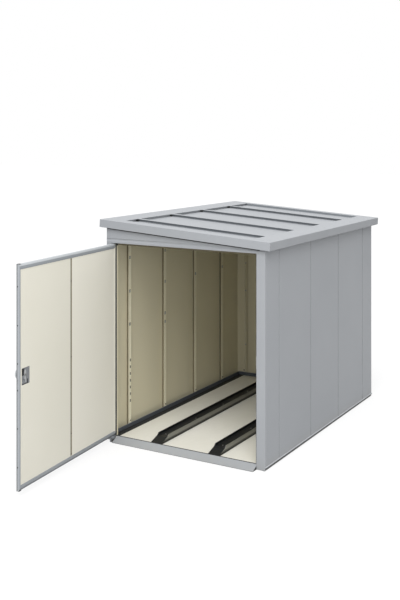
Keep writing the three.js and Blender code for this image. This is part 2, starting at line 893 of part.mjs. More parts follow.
function buildLeafPanels(leaf) {
  const side = stileBorder - borderOverlap;
  const z0 = bottomBorder - borderOverlap;
  const z1 = leafHeight - topBorder + borderOverlap;
  const skin = block(side, leafWidth - side, skinInset, skinBack, z0, z1);
  const skinHole = rodY(
    spindleDiameter + 2 * pinClearance, leafWidth - lockInset, spindleZ(), 0, skinBack + overrun,
  );
  piece(leaf, 'door_skin', cut(skin, [skinHole]), greyPaint);

  const middle = leafWidth / 2;
  const window = lockWindow();
  const left = block(side, middle - seamWidth / 2, linerBack, linerFace, z0, z1);
  const right = block(middle + seamWidth / 2, leafWidth - side, linerBack, linerFace, z0, z1);
  const opening = block(
    window.x0, window.x1, linerBack - overrun, linerFace + overrun, window.z0, window.z1,
  );
  piece(leaf, 'door_liner_hinge', left, creamPaint);
  piece(leaf, 'door_liner_lock', cut(right, [opening]), creamPaint);

  const web = linerBack - gap;
  const foot = skinBack + gap + sheet;
  const mullion = sheetShape([
    [middle - mullionWidth / 2 - mullionLip, foot],
    [middle - mullionWidth / 2, foot],
    [middle - mullionWidth / 2, web],
    [middle + mullionWidth / 2, web],
    [middle + mullionWidth / 2, foot],
    [middle + mullionWidth / 2 + mullionLip, foot],
  ].reverse(), sheet, sheet + gap);
  const post = prism(mullion, z1 - z0);
  post.translate(0, 0, z0);
  piece(leaf, 'door_mullion', post, creamPaint);
}

function buildShoes(leaf) {
  const bore = pinDiameter + 2 * pinClearance;
  const x1 = shoeInset + shoeLength;
  for (const [name, z0, z1] of [
    ['hinge_shoe_bottom', shoeInset, shoeInset + shoeHeight],
    ['hinge_shoe_top', leafHeight - shoeInset - shoeHeight, leafHeight - shoeInset],
  ]) {
    const body = block(shoeInset, x1, shoeFront, shoeFront + shoeThickness, z0, z1);
    const hole = rodZ(bore, pivotInset, pivotDepth, z0 - overrun, z1 + overrun, roundSides);
    piece(leaf, name, cut(body, [hole]), darkSteel);
  }
}

// Lock: case behind the window, sliding bolt, cam on the spindle, rose and knob outside, key plug

function spindleZ() {
  return lockHeight - leafBottom + spindleRise;
}

function buildLock(leaf) {
  const window = lockWindow();
  const back = caseBack;
  const front = back - caseThickness;
  const caseX1 = leafWidth - caseEdgeGap;
  const caseX0 = window.x0 - caseMargin;
  const caseZ0 = window.z0 - caseMargin;
  const caseZ1 = window.z1 + caseMargin;
  const boltZ = lockHeight - boltDrop - leafBottom;
  const spindleX = leafWidth - lockInset;
  const bolt = {
    y0: boltMiddle - boltThickness / 2,
    y1: boltMiddle + boltThickness / 2,
    z0: boltZ - boltHeight / 2,
    z1: boltZ + boltHeight / 2,
  };

  const body = block(caseX0, caseX1, front, back, caseZ0, caseZ1);
  const channel = block(
    caseX0 + caseWall, caseX1 + overrun, bolt.y0 - boltClearance, bolt.y1 + boltClearance,
    bolt.z0 - boltClearance, bolt.z1 + boltClearance,
  );
  const slit = block(
    spindleX - boltClearance, caseX1 - caseWall * 4, boltMiddle, back + overrun,
    boltZ - keywayWidth, boltZ + keywayWidth,
  );
  const hub = rodY(
    spindleDiameter + 2 * pinClearance, spindleX, spindleZ(), front - overrun, back + overrun, roundSides,
  );
  piece(leaf, 'lock_case', cut(body, [channel, slit, hub]), galvanised);

  const boltX1 = leafWidth - boltRetracted;
  const boltBody = block(boltX1 - boltLength, boltX1, bolt.y0, bolt.y1, bolt.z0, bolt.z1);
  piece(leaf, 'lock_bolt', boltBody, steel);

  const rose = rodY(
    roseDiameter, spindleX, spindleZ(), -roseThickness + skinInset - gap, skinInset - gap, roundSides,
  );
  const roseHole = rodY(
    spindleDiameter + 2 * pinClearance, spindleX, spindleZ(), -overrun * 3, overrun * 2, roundSides,
  );
  piece(leaf, 'knob_rose', cut(rose, [roseHole]), chrome);
  buildKnob(leaf, spindleX, back);
}

function buildKnob(leaf, spindleX, back) {
  const knob = place(leaf, spindleX, 0, spindleZ());
  const seat = -roseThickness + skinInset - gap * 2;
  const outer = -knobProtrusion;
  const radius = knobDiameter / 2;
  const round = knobHead / 4;
  const profile = [
    [0, outer],
    [radius - round, outer],
    [radius - round / 3, outer + round / 3],
    [radius, outer + round],
    [radius, outer + knobHead - round],
    [radius - round, outer + knobHead],
    [knobNeck / 2, outer + knobHead + round],
    [knobNeck / 2, seat],
    [spindleDiameter / 2, seat],
    [spindleDiameter / 2, back],
    [spindleSquare / 2, back],
    [spindleSquare / 2, back + gap],
    [0, back + gap],
  ].map(([r, y]) => new THREE.Vector2(r, y));
  const turned = new THREE.LatheGeometry(profile, roundSides);
  const pocket = rodY(plugDiameter + 2 * gap, 0, 0, outer - overrun, outer + plugDepth + gap, roundSides);
  const square = spindleSquare / 2;
  const end = block(-square, square, back - gap, back + gap + camThickness, -square, square);
  piece(knob, 'door_knob', join(cut(turned, [pocket]), [end]), chrome);

  const camBack = back + gap;
  const camBody = block(
    -camWidth / 2, camWidth / 2, camBack, camBack + camThickness, -camLength, camTail,
  );
  const squareHole = block(
    -square - gap, square + gap, camBack - overrun, camBack + overrun + camThickness, -square - gap, square + gap,
  );
  piece(knob, 'lock_cam', cut(camBody, [squareHole]), steel);

  const plug = rodY(plugDiameter, 0, 0, outer - plugProud, outer + plugDepth, roundSides);
  const keyway = block(
    -keywayWidth / 2, keywayWidth / 2, outer - overrun, outer + keywayDepth, -keywayHeight / 2, keywayHeight / 2,
  );
  piece(knob, 'key_plug', cut(plug, [keyway]), steel);
}

// Strike plate on the right jamb

function buildStrike() {
  const height = lockHeight - boltDrop;
  const x1 = openingRight - gap;
  const plate = block(
    x1 - strikeThickness, x1, -halfDepth + bendRadius, -halfDepth + jambDepth - bendRadius,
    height - strikeHeight / 2, height + strikeHeight / 2,
  );
  const holes = [boltOpening(boltClearance * 2)];
  for (const side of [-1, 1]) {
    const z = height + side * (strikeHeight / 2 - screwDiameter * 2);
    holes.push(rodX(screwDiameter, -halfDepth + boltMiddle, z, x1 - overrun, x1 + overrun));
  }
  piece(locker, 'strike_plate', cut(plate, holes), galvanised);
}

buildBase();
buildWalls();
buildRoof();
buildChannels();
buildPivots();
buildDoor();
buildStrike();

export default locker;
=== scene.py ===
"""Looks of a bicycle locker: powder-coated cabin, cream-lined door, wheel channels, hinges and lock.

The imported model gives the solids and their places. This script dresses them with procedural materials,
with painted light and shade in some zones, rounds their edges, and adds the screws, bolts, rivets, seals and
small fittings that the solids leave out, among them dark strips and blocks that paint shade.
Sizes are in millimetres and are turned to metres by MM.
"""

import logging
import math
from dataclasses import dataclass
from enum import Enum
from typing import Any, Iterable, Sequence

import bmesh
import bpy
from mathutils import Matrix, Vector

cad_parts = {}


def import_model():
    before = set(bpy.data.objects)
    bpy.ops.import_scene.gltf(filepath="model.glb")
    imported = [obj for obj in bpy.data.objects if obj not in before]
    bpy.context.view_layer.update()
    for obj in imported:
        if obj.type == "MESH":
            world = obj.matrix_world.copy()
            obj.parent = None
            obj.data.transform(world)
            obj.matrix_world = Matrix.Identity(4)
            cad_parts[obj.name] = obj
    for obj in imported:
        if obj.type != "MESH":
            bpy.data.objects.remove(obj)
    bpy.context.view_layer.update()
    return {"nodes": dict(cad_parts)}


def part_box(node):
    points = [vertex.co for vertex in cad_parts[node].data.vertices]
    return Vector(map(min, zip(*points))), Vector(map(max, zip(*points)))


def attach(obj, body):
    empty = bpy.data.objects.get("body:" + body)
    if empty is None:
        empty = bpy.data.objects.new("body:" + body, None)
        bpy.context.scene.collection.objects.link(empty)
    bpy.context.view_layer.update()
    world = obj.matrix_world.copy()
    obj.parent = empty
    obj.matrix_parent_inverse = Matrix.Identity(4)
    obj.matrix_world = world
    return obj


log = logging.getLogger("bicycle_locker")

MM = 0.001
PER_METRE = 1000
QUARTER_TURN = 90

# Gap in millimetres between a small piece and the sheet that it lies on
LIFT = 0.05

Point = tuple[float, float, float]
Flat = tuple[float, float]


class Body(Enum):
    """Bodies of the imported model, by the names that pieces ride on."""

    CABIN = "cabin"
    DOOR = "door"


class Drive(Enum):
    """Recess or shape in the head of a fastener."""

    CROSS = "cross"
    HEXAGON = "hexagon"
    RIVET = "rivet"


class Measure(Enum):
    """What a zone of a coating is told apart by; lengths are in millimetres."""

    ACROSS = "distance from the middle, to either side"
    ALONG = "place from front to back"
    HEIGHT = "height above the ground"
    INTO_LEAF = "depth from the outer face of the door leaf"
    OFF_CHANNEL = "distance from the middle of the nearest wheel channel"
    UPWARD = "how much the surface faces up, from minus one to one"
    SIDEWAYS = "how much it faces away from the middle plane, from minus one to one"
    BACKWARD = "how much it faces the back, from minus one to one"


FACINGS = {Measure.SIDEWAYS: 0, Measure.BACKWARD: 1, Measure.UPWARD: 2}

# Colours of the coatings, each with the tone that its slow clouds reach
GREY = ("a2a5a9", "9fa2a6")
FRAME_GREY = ("a0a5aa", "9ca1a6")
CREAM = ("f1eee1", "efecde")


def linear(code: str) -> tuple[float, float, float, float]:
    """Turn an sRGB hex colour into linear RGBA, by the curve of the sRGB standard.

    Args:
        code: six hex digits, such as "a9adb1".

    Returns:
        Linear red, green, blue and an alpha of one.
    """
    values = []
    for start in (0, 2, 4):
        share = int(code[start:start + 2], 16) / 255
        values.append(share / 12.92 if share <= 0.04045 else ((share + 0.055) / 1.055) ** 2.4)
    return values[0], values[1], values[2], 1.0


@dataclass(frozen=True)
class Cabin:
    """Sizes of the cabin that the small pieces are set out from."""

    half_width: float = 633.5
    half_depth: float = 1000
    roof_low: float = 1493
    roof_rise: float = 83
    sheet: float = 1.2
    wall_bottom: float = 26.3
    wall_depth: float = 28
    wall_lip: float = 16
    jamb_depth: float = 28
    opening_left: float = -593.5
    opening_right: float = 568.5
    lintel_bottom: float = 1410
    lintel_stop: float = 14
    sill_top: float = 31
    sill_left: float = -552
    sill_right: float = 568.2
    floor_top: float = 24
    channel_spacing: float = 462
    channel_width: float = 88
    right_seams: tuple[float, ...] = (-788, -262, 262, 788)
    left_seams: tuple[float, ...] = (-748, -264, 204, 662)
    back_seams: tuple[float, ...] = (543.5, 0, -543.5)

    def roof_at(self, x: float) -> float:
        """Return the height of the roof's upper plane at a place across the cabin."""
        return self.roof_low + self.roof_rise * (self.half_width - x) / (2 * self.half_width)


@dataclass(frozen=True)
class Leaf:
    """Sizes and place of the door leaf.

    X runs from its hinge edge, Y inwards from its outer face and Z up from its foot.
    """

    width: float = 1155.1
    height: float = 1371
    thickness: float = 22
    chamfer: float = 5
    pivot: Point = (-579, -990.3, 34)
    pivot_inset: float = 11
    pivot_depth: float = 9.7
    open_deg: float = 84.6
    mullion_face: float = 17.5
    case_face: float = 17.5

    def matrix(self) -> Matrix:
        """Place the leaf in the doorway, as far open as in the rest pose.

        Returns:
            The transform from leaf millimetres to metres in the locker's frame.
        """
        turn = Matrix.Rotation(-math.radians(self.open_deg), 4, "Z")
        back = Matrix.Translation((-self.pivot_inset, -self.pivot_depth, 0))
        return Matrix.Scale(MM, 4) @ Matrix.Translation(self.pivot) @ turn @ back

    def inward(self) -> Vector:
        """Return the direction from the leaf's outer face to its inner face."""
        return (self.matrix().to_3x3() @ Vector((0, 1, 0))).normalized()


@dataclass(frozen=True)
class Borders:
    """Limits of the coatings' zones, in millimetres, or as shares for the way that a surface faces."""

    clear: float = 1
    past_one: float = 2
    flat: float = 0.8
    slope: float = 0.2
    rear: float = -0.5
    stile_front: float = 8.5
    stile_back: float = 2
    gap_width: float = 7
    sill_foot: float = 3.6
    channel_inside: float = 2
    channel_outside: float = 1
    channel_base: float = 20
    channel_foot: float = 37
    channel_low: float = 45
    rib_ends: float = 960
    rib_skin: float = 0.4
    web_clear: float = 0.8
    corner_clear: float = 40
    bend_reach: float = 6
    bend_turn: float = 0.05
    shade_reach: float = 8
    stop_clear: float = 16
    rail_foot: float = 20.4
    rail_ledge: float = 27
    rail_width: float = 12
    rail_lip: Flat = (52.8, 60)


CABIN = Cabin()
LEAF = Leaf()
BORDERS = Borders()


class Graph:
    """The node tree of a material or of the world."""

    def __init__(self, owner: bpy.types.Material | bpy.types.World) -> None:
        """Empty the owner's tree.

        Args:
            owner: the material or the world.
        """
        self.owner = owner
        owner.use_nodes = True
        self.tree = owner.node_tree
        self.tree.nodes.clear()

    def add(self, kind: str, feeds: dict[Any, Any] | None = None, **settings: Any) -> Any:
        """Add one node with its settings, values and links.

        Args:
            kind: the node type without its "ShaderNode" prefix.
            feeds: input names or numbers, each with a value or an output socket.
            settings: properties of the node itself.

        Returns:
            The new node.
        """
        node = self.tree.nodes.new("ShaderNode" + kind)
        for key, value in settings.items():
            setattr(node, key, value)
        for key, value in (feeds or {}).items():
            if isinstance(value, bpy.types.NodeSocket):
                self.tree.links.new(value, node.inputs[key])
            else:
                node.inputs[key].default_value = value
        return node

    def close(self, shader: Any, output: str = "OutputMaterial") -> Any:
        """Link the shader to the output and return the tree's owner."""
        self.add(output, {"Surface": shader.outputs[0]})
        return self.owner


class Surface(Graph):
    """The node tree of a new material, with the Object coordinates that its patterns are laid out in."""

    def __init__(self, name: str) -> None:
        """Make the material and its coordinates."""
        super().__init__(bpy.data.materials.new(name))
        self.place = self.add("TexCoord").outputs["Object"]


@dataclass(frozen=True)
class Zone:
    """Part of a surface with a colour of its own: the places between all of its limits."""

    colour: str
    limits: tuple[tuple[Measure, float, float], ...]

    def mask(self, surface: Surface) -> Any:
        """Give one inside the zone and nought elsewhere.

        Args:
            surface: the material's tree.

        Returns:
            The socket of the mask.
        """
        product = None
        for measure, low, high in self.limits:
            scale = 1.0 if measure in FACINGS else MM
            value = self.value(surface, measure)
            middle, half = (low + high) / 2 * scale, (high - low) / 2 * scale
            inside = surface.add("Math", {0: value, 1: middle, 2: half}, operation="COMPARE").outputs[0]
            if product is not None:
                inside = surface.add("Math", {0: product, 1: inside}, operation="MULTIPLY").outputs[0]
            product = inside
        return product

    def value(self, surface: Surface, measure: Measure) -> Any:
        """Give the socket of one measure.

        Args:
            surface: the material's tree.
            measure: what is measured.

        Returns:
            The socket of its value, in metres unless it is a share.
        """
        if measure in FACINGS:
            normal = surface.add("NewGeometry").outputs["Normal"]
            facing = surface.add("SeparateXYZ", {0: normal}).outputs[FACINGS[measure]]
            if measure is not Measure.SIDEWAYS:
                return facing
            x = surface.add("SeparateXYZ", {0: surface.place}).outputs[0]
            side = surface.add("Math", {0: x}, operation="SIGN").outputs[0]
            return surface.add("Math", {0: facing, 1: side}, operation="MULTIPLY").outputs[0]
        if measure is Measure.INTO_LEAF:
            inward = LEAF.inward()
            outer = LEAF.matrix().to_translation().dot(inward)
            depth = surface.add("VectorMath", {0: surface.place, 1: inward}, operation="DOT_PRODUCT")
            depth = depth.outputs["Value"]
            return surface.add("Math", {0: depth, 1: outer}, operation="SUBTRACT").outputs[0]
        parts = surface.add("SeparateXYZ", {0: surface.place}).outputs
        if measure in (Measure.ALONG, Measure.HEIGHT):
            return parts[1 if measure is Measure.ALONG else 2]
        across = surface.add("Math", {0: parts[0]}, operation="ABSOLUTE").outputs[0]
        if measure is Measure.ACROSS:
            return across
        middle = CABIN.channel_spacing / 2 * MM
        off = surface.add("Math", {0: across, 1: middle}, operation="SUBTRACT").outputs[0]
        return surface.add("Math", {0: off}, operation="ABSOLUTE").outputs[0]


def zoned(surface: Surface, tone: Any, zones: Iterable[Zone]) -> Any:
    """Lay the colours of zones over a tone, each over the ones before it.

    Args:
        surface: the material's tree.
        tone: the colour outside the zones.
        zones: the zones.

    Returns:
        The socket of the colour.
    """
    for zone in zones:
        mask = zone.mask(surface)
        tone = surface.add("MixRGB", {0: mask, 1: tone, 2: linear(zone.colour)}).outputs[0]
    return tone


@dataclass(frozen=True)
class PowderCoat:
    """Polyester powder coating baked on sheet steel.

    It flows out to a satin film with a faint orange peel, holds a little dust near the ground, and shows
    slow changes of tone over a large panel.
    """

    name: str
    colour: str
    shade: str
    zones: tuple[Zone, ...] = ()
    roughness: float = 0.5
    gloss_swing: Flat = (-0.04, 0.06)
    gloss_range: Flat = (0.3, 0.7)
    specular: float = 0.25
    peel_mm: float = 2.2
    peel_depth_mm: float = 0.035
    cloud_mm: float = 420
    cloud_range: Flat = (0.32, 0.68)
    dust: str = "8f8a7e"
    dust_grain_mm: float = 35
    dust_height_mm: float = 90
    dust_amount: float = 0.32

    def build(self) -> bpy.types.Material:
        """Make the coating.

        Returns:
            Its material.
        """
        surface = Surface(self.name)
        cloud = surface.add("TexNoise", {
            "Vector": surface.place, "Scale": PER_METRE / self.cloud_mm, "Detail": 3.0,
        }).outputs[0]
        share = surface.add("MapRange", {
            "Value": cloud, "From Min": self.cloud_range[0], "From Max": self.cloud_range[1],
        })
        tone = surface.add("MixRGB", {0: share.outputs[0], 1: linear(self.colour), 2: linear(self.shade)})
        dusty = self.dusty(surface, zoned(surface, tone.outputs[0], self.zones))
        peel = surface.add("TexNoise", {
            "Vector": surface.place, "Scale": PER_METRE / self.peel_mm, "Detail": 2.0, "Roughness": 0.4,
        })
        bump = surface.add("Bump", {
            "Height": peel.outputs[0], "Distance": self.peel_depth_mm * MM, "Strength": 1.0,
        })
        gloss = surface.add("MapRange", {
            "Value": cloud, "From Min": self.gloss_range[0], "From Max": self.gloss_range[1],
            "To Min": self.roughness + self.gloss_swing[0], "To Max": self.roughness + self.gloss_swing[1],
        })
        return surface.close(surface.add("BsdfPrincipled", {
            "Base Color": dusty, "Roughness": gloss.outputs[0], "Normal": bump.outputs[0],
            "Specular IOR Level": self.specular,
        }))

    def dusty(self, surface: Surface, tone: Any) -> Any:
        """Lay a film of dust over the lowest part, broken up by a noise.

        Args:
            surface: the material's tree.
            tone: the colour under the dust.

        Returns:
            The socket of the colour.
        """
        height = surface.add("SeparateXYZ", {0: surface.place}).outputs[2]
        low = surface.add("MapRange", {
            "Value": height, "From Max": self.dust_height_mm * MM, "To Min": 1.0, "To Max": 0.0,
        })
        grain = surface.add("TexNoise", {
            "Vector": surface.place, "Scale": PER_METRE / self.dust_grain_mm, "Detail": 5.0,
        })
        broken = surface.add("Math", {0: low.outputs[0], 1: grain.outputs[0]}, operation="MULTIPLY")
        amount = surface.add("Math", {0: broken.outputs[0], 1: self.dust_amount}, operation="MULTIPLY")
        return surface.add("MixRGB", {0: amount.outputs[0], 1: tone, 2: linear(self.dust)}).outputs[0]


@dataclass(frozen=True)
class Galvanised:
    """Hot-dip galvanised sheet, whose zinc freezes in spangles a few millimetres across."""

    name: str
    colour: str = "c4c7c9"
    dark: str = "9ea2a5"
    spangle_mm: float = 7
    roughness: float = 0.38
    gloss_swing: Flat = (-0.08, 0.12)

    def build(self) -> bpy.types.Material:
        """Make the zinc.

        Returns:
            Its material.
        """
        surface = Surface(self.name)
        spangle = surface.add("TexVoronoi", {"Vector": surface.place, "Scale": PER_METRE / self.spangle_mm})
        flake = surface.add("SeparateColor", {0: spangle.outputs["Color"]}).outputs
        tone = surface.add("MixRGB", {0: flake[0], 1: linear(self.colour), 2: linear(self.dark)})
        gloss = surface.add("MapRange", {
            "Value": flake[1], "To Min": self.roughness + self.gloss_swing[0],
            "To Max": self.roughness + self.gloss_swing[1],
        })
        return surface.close(surface.add("BsdfPrincipled", {
            "Base Color": tone.outputs[0], "Roughness": gloss.outputs[0], "Metallic": 1.0,
        }))


@dataclass(frozen=True)
class BareMetal:
    """Turned, drawn or plated metal, with fine marks along one direction that spread its gloss.

    The marks are drawn coarser than real ones, so that they show.
    """

    name: str
    colour: str
    dark: str
    roughness: float
    grain_mm: Point = (0.5, 0.5, 12)
    grain_range: Flat = (0.3, 0.7)
    gloss_shares: Flat = (0.85, 1.25)
    metallic: float = 1.0
    grain_depth_mm: float = 0.012
    zones: tuple[Zone, ...] = ()

    def build(self) -> bpy.types.Material:
        """Make the metal.

        Returns:
            Its material.
        """
        surface = Surface(self.name)
        scale = tuple(PER_METRE / length for length in self.grain_mm)
        drawn = surface.add("Mapping", {"Vector": surface.place, "Scale": scale}, vector_type="POINT")
        grain = surface.add("TexNoise", {"Vector": drawn.outputs[0], "Scale": 1.0, "Detail": 3.0}).outputs[0]
        tone = surface.add("MixRGB", {0: grain, 1: linear(self.colour), 2: linear(self.dark)})
        gloss = surface.add("MapRange", {
            "Value": grain, "From Min": self.grain_range[0], "From Max": self.grain_range[1],
            "To Min": self.roughness * self.gloss_shares[0], "To Max": self.roughness * self.gloss_shares[1],
        })
        bump = surface.add("Bump", {"Height": grain, "Distance": self.grain_depth_mm * MM, "Strength": 1.0})
        return surface.close(surface.add("BsdfPrincipled", {
            "Base Color": zoned(surface, tone.outputs[0], self.zones), "Roughness": gloss.outputs[0],
            "Metallic": self.metallic, "Normal": bump.outputs[0],
        }))


@dataclass(frozen=True)
class Rubber:
    """Extruded seal, moulded plug or cloth tape: matt, and paler where dust has settled in its grain.

    The grain is drawn coarser than the real one, so that it shows.
    """

    name: str
    colour: str = "242526"
    dust: str = "3d3c39"
    dust_range: Flat = (0.5, 0.8)
    grain_mm: float = 3
    grain_depth_mm: float = 0.05
    roughness: float = 0.75

    def build(self) -> bpy.types.Material:
        """Make the rubber.

        Returns:
            Its material.
        """
        surface = Surface(self.name)
        grain = surface.add("TexNoise", {
            "Vector": surface.place, "Scale": PER_METRE / self.grain_mm, "Detail": 4.0,
        }).outputs[0]
        share = surface.add("MapRange", {
            "Value": grain, "From Min": self.dust_range[0], "From Max": self.dust_range[1],
        })
        tone = surface.add("MixRGB", {0: share.outputs[0], 1: linear(self.colour), 2: linear(self.dust)})
        bump = surface.add("Bump", {"Height": grain, "Distance": self.grain_depth_mm * MM, "Strength": 1.0})
        return surface.close(surface.add("BsdfPrincipled", {
            "Base Color": tone.outputs[0], "Roughness": self.roughness, "Normal": bump.outputs[0],
        }))


class Finishes:
    """All finishes of the locker, built once and shared by its pieces."""

    def __init__(self) -> None:
        """Build every material."""
        clear, past_one = BORDERS.clear, BORDERS.past_one
        # Silver-grey coat outside, with a painted highlight on flat tops and painted shade on the pans'
        # steps that face forwards
        painted_top_light = Zone("abaeb2", ((Measure.UPWARD, BORDERS.flat, past_one),))
        shaded = Zone("7c8084", ((Measure.BACKWARD, -past_one, BORDERS.rear),))
        self.outside = PowderCoat("grey_powder_coat", *GREY, zones=(painted_top_light,)).build()
        self.pans = PowderCoat("roof_pan_coat", *GREY, zones=(painted_top_light, shaded)).build()
        self.walls = PowderCoat("two_tone_coat_painted_light_and_shade", *GREY, zones=self.wall_zones()).build()
        self.rails = PowderCoat("base_rail_coat", *GREY, zones=self.rail_zones(), dust_height_mm=50).build()
        # Painted shade along the foot of the sill's ramp
        foot = Zone("6d7175", ((Measure.HEIGHT, -clear, BORDERS.sill_foot),))
        self.sill = PowderCoat("sill_coat", "a1a4a7", "9da0a4", zones=(foot,), dust_height_mm=30).build()

        # Cream coat inside, with a paler copy as painted light on the liner beside the hinges, which lies in
        # shade
        self.cream = PowderCoat("cream_powder_coat", *CREAM).build()
        self.painted_light_cream = PowderCoat("cream_coat_painted_light", "f9f6ea", "f7f4e7").build()
        self.floor = PowderCoat(
            "cream_floor_coat", "edebe2", "e9e7dd", dust_height_mm=60, dust_amount=0.16,
        ).build()

        # Frame of the leaf: a painted highlight on the rails' upward faces and painted shade on their
        # undersides
        upper = Zone("c2c6c9", ((Measure.UPWARD, BORDERS.slope, past_one),))
        under = Zone("74797f", ((Measure.UPWARD, -past_one, -BORDERS.slope),))
        self.frame = PowderCoat("door_frame_coat", *FRAME_GREY, zones=(upper, under)).build()
        lining = LEAF.thickness - LEAF.chamfer
        # Painted shade on the free edge's outer bend and a painted highlight on the band of the edge behind
        # it
        outer = Zone("484c51", ((Measure.INTO_LEAF, -clear, BORDERS.stile_front),))
        edge = Zone("b3b7bb", ((Measure.INTO_LEAF, BORDERS.stile_front, lining - BORDERS.stile_back),))
        self.lock_stile = PowderCoat("lock_stile_coat", "a3a8ad", "9fa4a9", zones=(outer, edge)).build()
        inside = Zone(CREAM[0], ((Measure.INTO_LEAF, lining, LEAF.thickness * 2),))
        self.hinge_stile = PowderCoat("hinge_stile_coat", *FRAME_GREY, zones=(inside,)).build()
        # Painted shade on the bracket's strip beside the sill's end, where the gap between them lies
        gap = Zone("26282a", ((Measure.ACROSS, -CABIN.sill_left, BORDERS.gap_width - CABIN.sill_left),))
        self.bracket = PowderCoat("bracket_coat", "80858a", "7b8085", zones=(gap,)).build()

        # Dark semi-gloss channels, with a painted reflection of the floor on their outer sides down to
        # painted shade at the foot
        half = CABIN.channel_width / 2
        outside = (Measure.OFF_CHANNEL, half - BORDERS.channel_inside, half + BORDERS.channel_outside)
        base = BORDERS.channel_base
        sides = (
            Zone("8c8c86", (outside,)),
            Zone("565652", (outside, (Measure.HEIGHT, base, BORDERS.channel_low))),
            Zone("232321", (outside, (Measure.HEIGHT, base, BORDERS.channel_foot))),
        )
        self.channel = BareMetal(
            "dark_coated_steel", "3a3c3e", "2f3133", roughness=0.4, grain_mm=(3, 60, 3), metallic=0.7,
            zones=sides,
        ).build()

        # Metals: spangled zinc sheet, bright and dull plating, satin chrome and blackened steel
        self.galvanised = Galvanised("galvanised_steel").build()
        self.steel = BareMetal("zinc_plated_steel", "c2c5c8", "a3a7ab", roughness=0.3).build()
        self.zinc = BareMetal(
            "dull_zinc_plated_steel", "a4a7ab", "7b7e82", roughness=0.45, metallic=0.3,
        ).build()
        self.bright_zinc = BareMetal(
            "bright_zinc_plated_steel", "cfd1d3", "b9bbbe", roughness=0.35, metallic=0.2,
        ).build()
        self.chrome = BareMetal(
            "satin_chrome", "c9ccce", "bcbfc2", roughness=0.28, grain_depth_mm=0.004,
        ).build()
        self.black = BareMetal("black_oxide_steel", "37383a", "2c2d2f", roughness=0.45, metallic=0.6).build()

        # Black rubber, also for strips of painted shade; near-black plugs, a slate seal and a brown-grey
        # seam strip that paint shade
        self.rubber = Rubber("black_seal_rubber").build()
        self.plug = Rubber("black_plug_and_painted_hollow_shade", colour="0d0d0e", dust="191919").build()
        self.slate = Rubber("slate_seal_and_painted_shade", colour="373b3f", dust="484b4e").build()
        self.seam_shade_strip = Rubber("seam_strip_painted_shade", colour="8a8370", dust="9a937f").build()

    def wall_zones(self) -> tuple[Zone, ...]:
        """Set out the cream inner faces of the walls, and what differs from them.

        Returns:
            The inner faces, painted shade on the webs of the ribs and a painted highlight on their lips, the
            grey bends outside and painted shade on the lintel's stop.
        """
        half, deep, sheet, clear = CABIN.half_width, CABIN.half_depth, CABIN.sheet, BORDERS.clear
        front = CABIN.jamb_depth - clear - deep
        inner = Zone("e0d9be", (
            (Measure.ACROSS, -clear, half - sheet / 2), (Measure.ALONG, front, deep - sheet / 2),
        ))
        ribs = (Measure.ALONG, -BORDERS.rib_ends, BORDERS.rib_ends)
        into = -CABIN.wall_depth + sheet + BORDERS.rib_skin
        skin = sheet + BORDERS.web_clear
        # Painted shade on the webs of the ribs, at the sides and at the back, and a painted highlight on
        # their lips
        webs = Zone("837b66", ((Measure.ACROSS, half + into, half - skin), ribs))
        lips = Zone("f4eed4", ((Measure.ACROSS, half + into - sheet - clear, half + into), ribs))
        back_webs = Zone("837b66", (
            (Measure.ACROSS, -clear, half - BORDERS.corner_clear), (Measure.ALONG, deep + into, deep - skin),
        ))
        reach, turned = BORDERS.bend_reach, (BORDERS.bend_turn, BORDERS.past_one)
        bends = Zone(GREY[0], ((Measure.ACROSS, half - reach, half + clear), (Measure.SIDEWAYS, *turned)))
        back_bends = Zone(GREY[0], (
            (Measure.ALONG, deep - reach, deep + clear), (Measure.BACKWARD, *turned),
        ))
        bottom = CABIN.lintel_bottom
        # Painted shade on the face of the lintel's stop, which lies under the lintel
        stop = Zone("6f6853", (
            (Measure.HEIGHT, bottom - CABIN.lintel_stop - clear, bottom - BORDERS.rib_skin),
            (Measure.ALONG, -deep, CABIN.jamb_depth + BORDERS.shade_reach - deep),
            (Measure.ACROSS, -clear, CABIN.opening_right - BORDERS.stop_clear),
        ))
        return inner, webs, lips, back_webs, bends, back_bends, stop

    def rail_zones(self) -> tuple[Zone, ...]:
        """Set out what differs from the grey outer face of the base rails.

        Returns:
            Painted shade on their lowest faces, a painted highlight on the ledges, the inner faces, and a
            painted highlight on the lips on top of these.
        """
        foot, ledge = BORDERS.rail_foot, BORDERS.rail_ledge
        half, deep = CABIN.half_width, CABIN.half_depth
        within = (
            (Measure.ACROSS, -BORDERS.clear, half - BORDERS.rail_width),
            (Measure.ALONG, -deep, deep - BORDERS.rail_width),
        )
        # Painted shade on the low faces, painted highlights on the ledges and inner lips, and the darker
        # inner faces
        return (
            Zone("3f4347", ((Measure.HEIGHT, -BORDERS.clear, foot),)),
            Zone("b4b7bb", (
                (Measure.UPWARD, BORDERS.slope, BORDERS.past_one), (Measure.HEIGHT, foot, ledge),
            )),
            Zone("565c64", within),
            Zone("8b9095", (*within, (Measure.HEIGHT, *BORDERS.rail_lip))),
        )


def as_object(name: str, bm: bmesh.types.BMesh) -> bpy.types.Object:
    """Turn a bmesh into an object at the origin.

    Args:
        name: the object's name.
        bm: the mesh, which is freed.

    Returns:
        The object, linked to the scene.
    """
    mesh = bpy.data.meshes.new(name)
    bm.to_mesh(mesh)
    bm.free()
    made = bpy.data.objects.new(name, mesh)
    bpy.context.scene.collection.objects.link(made)
    return made


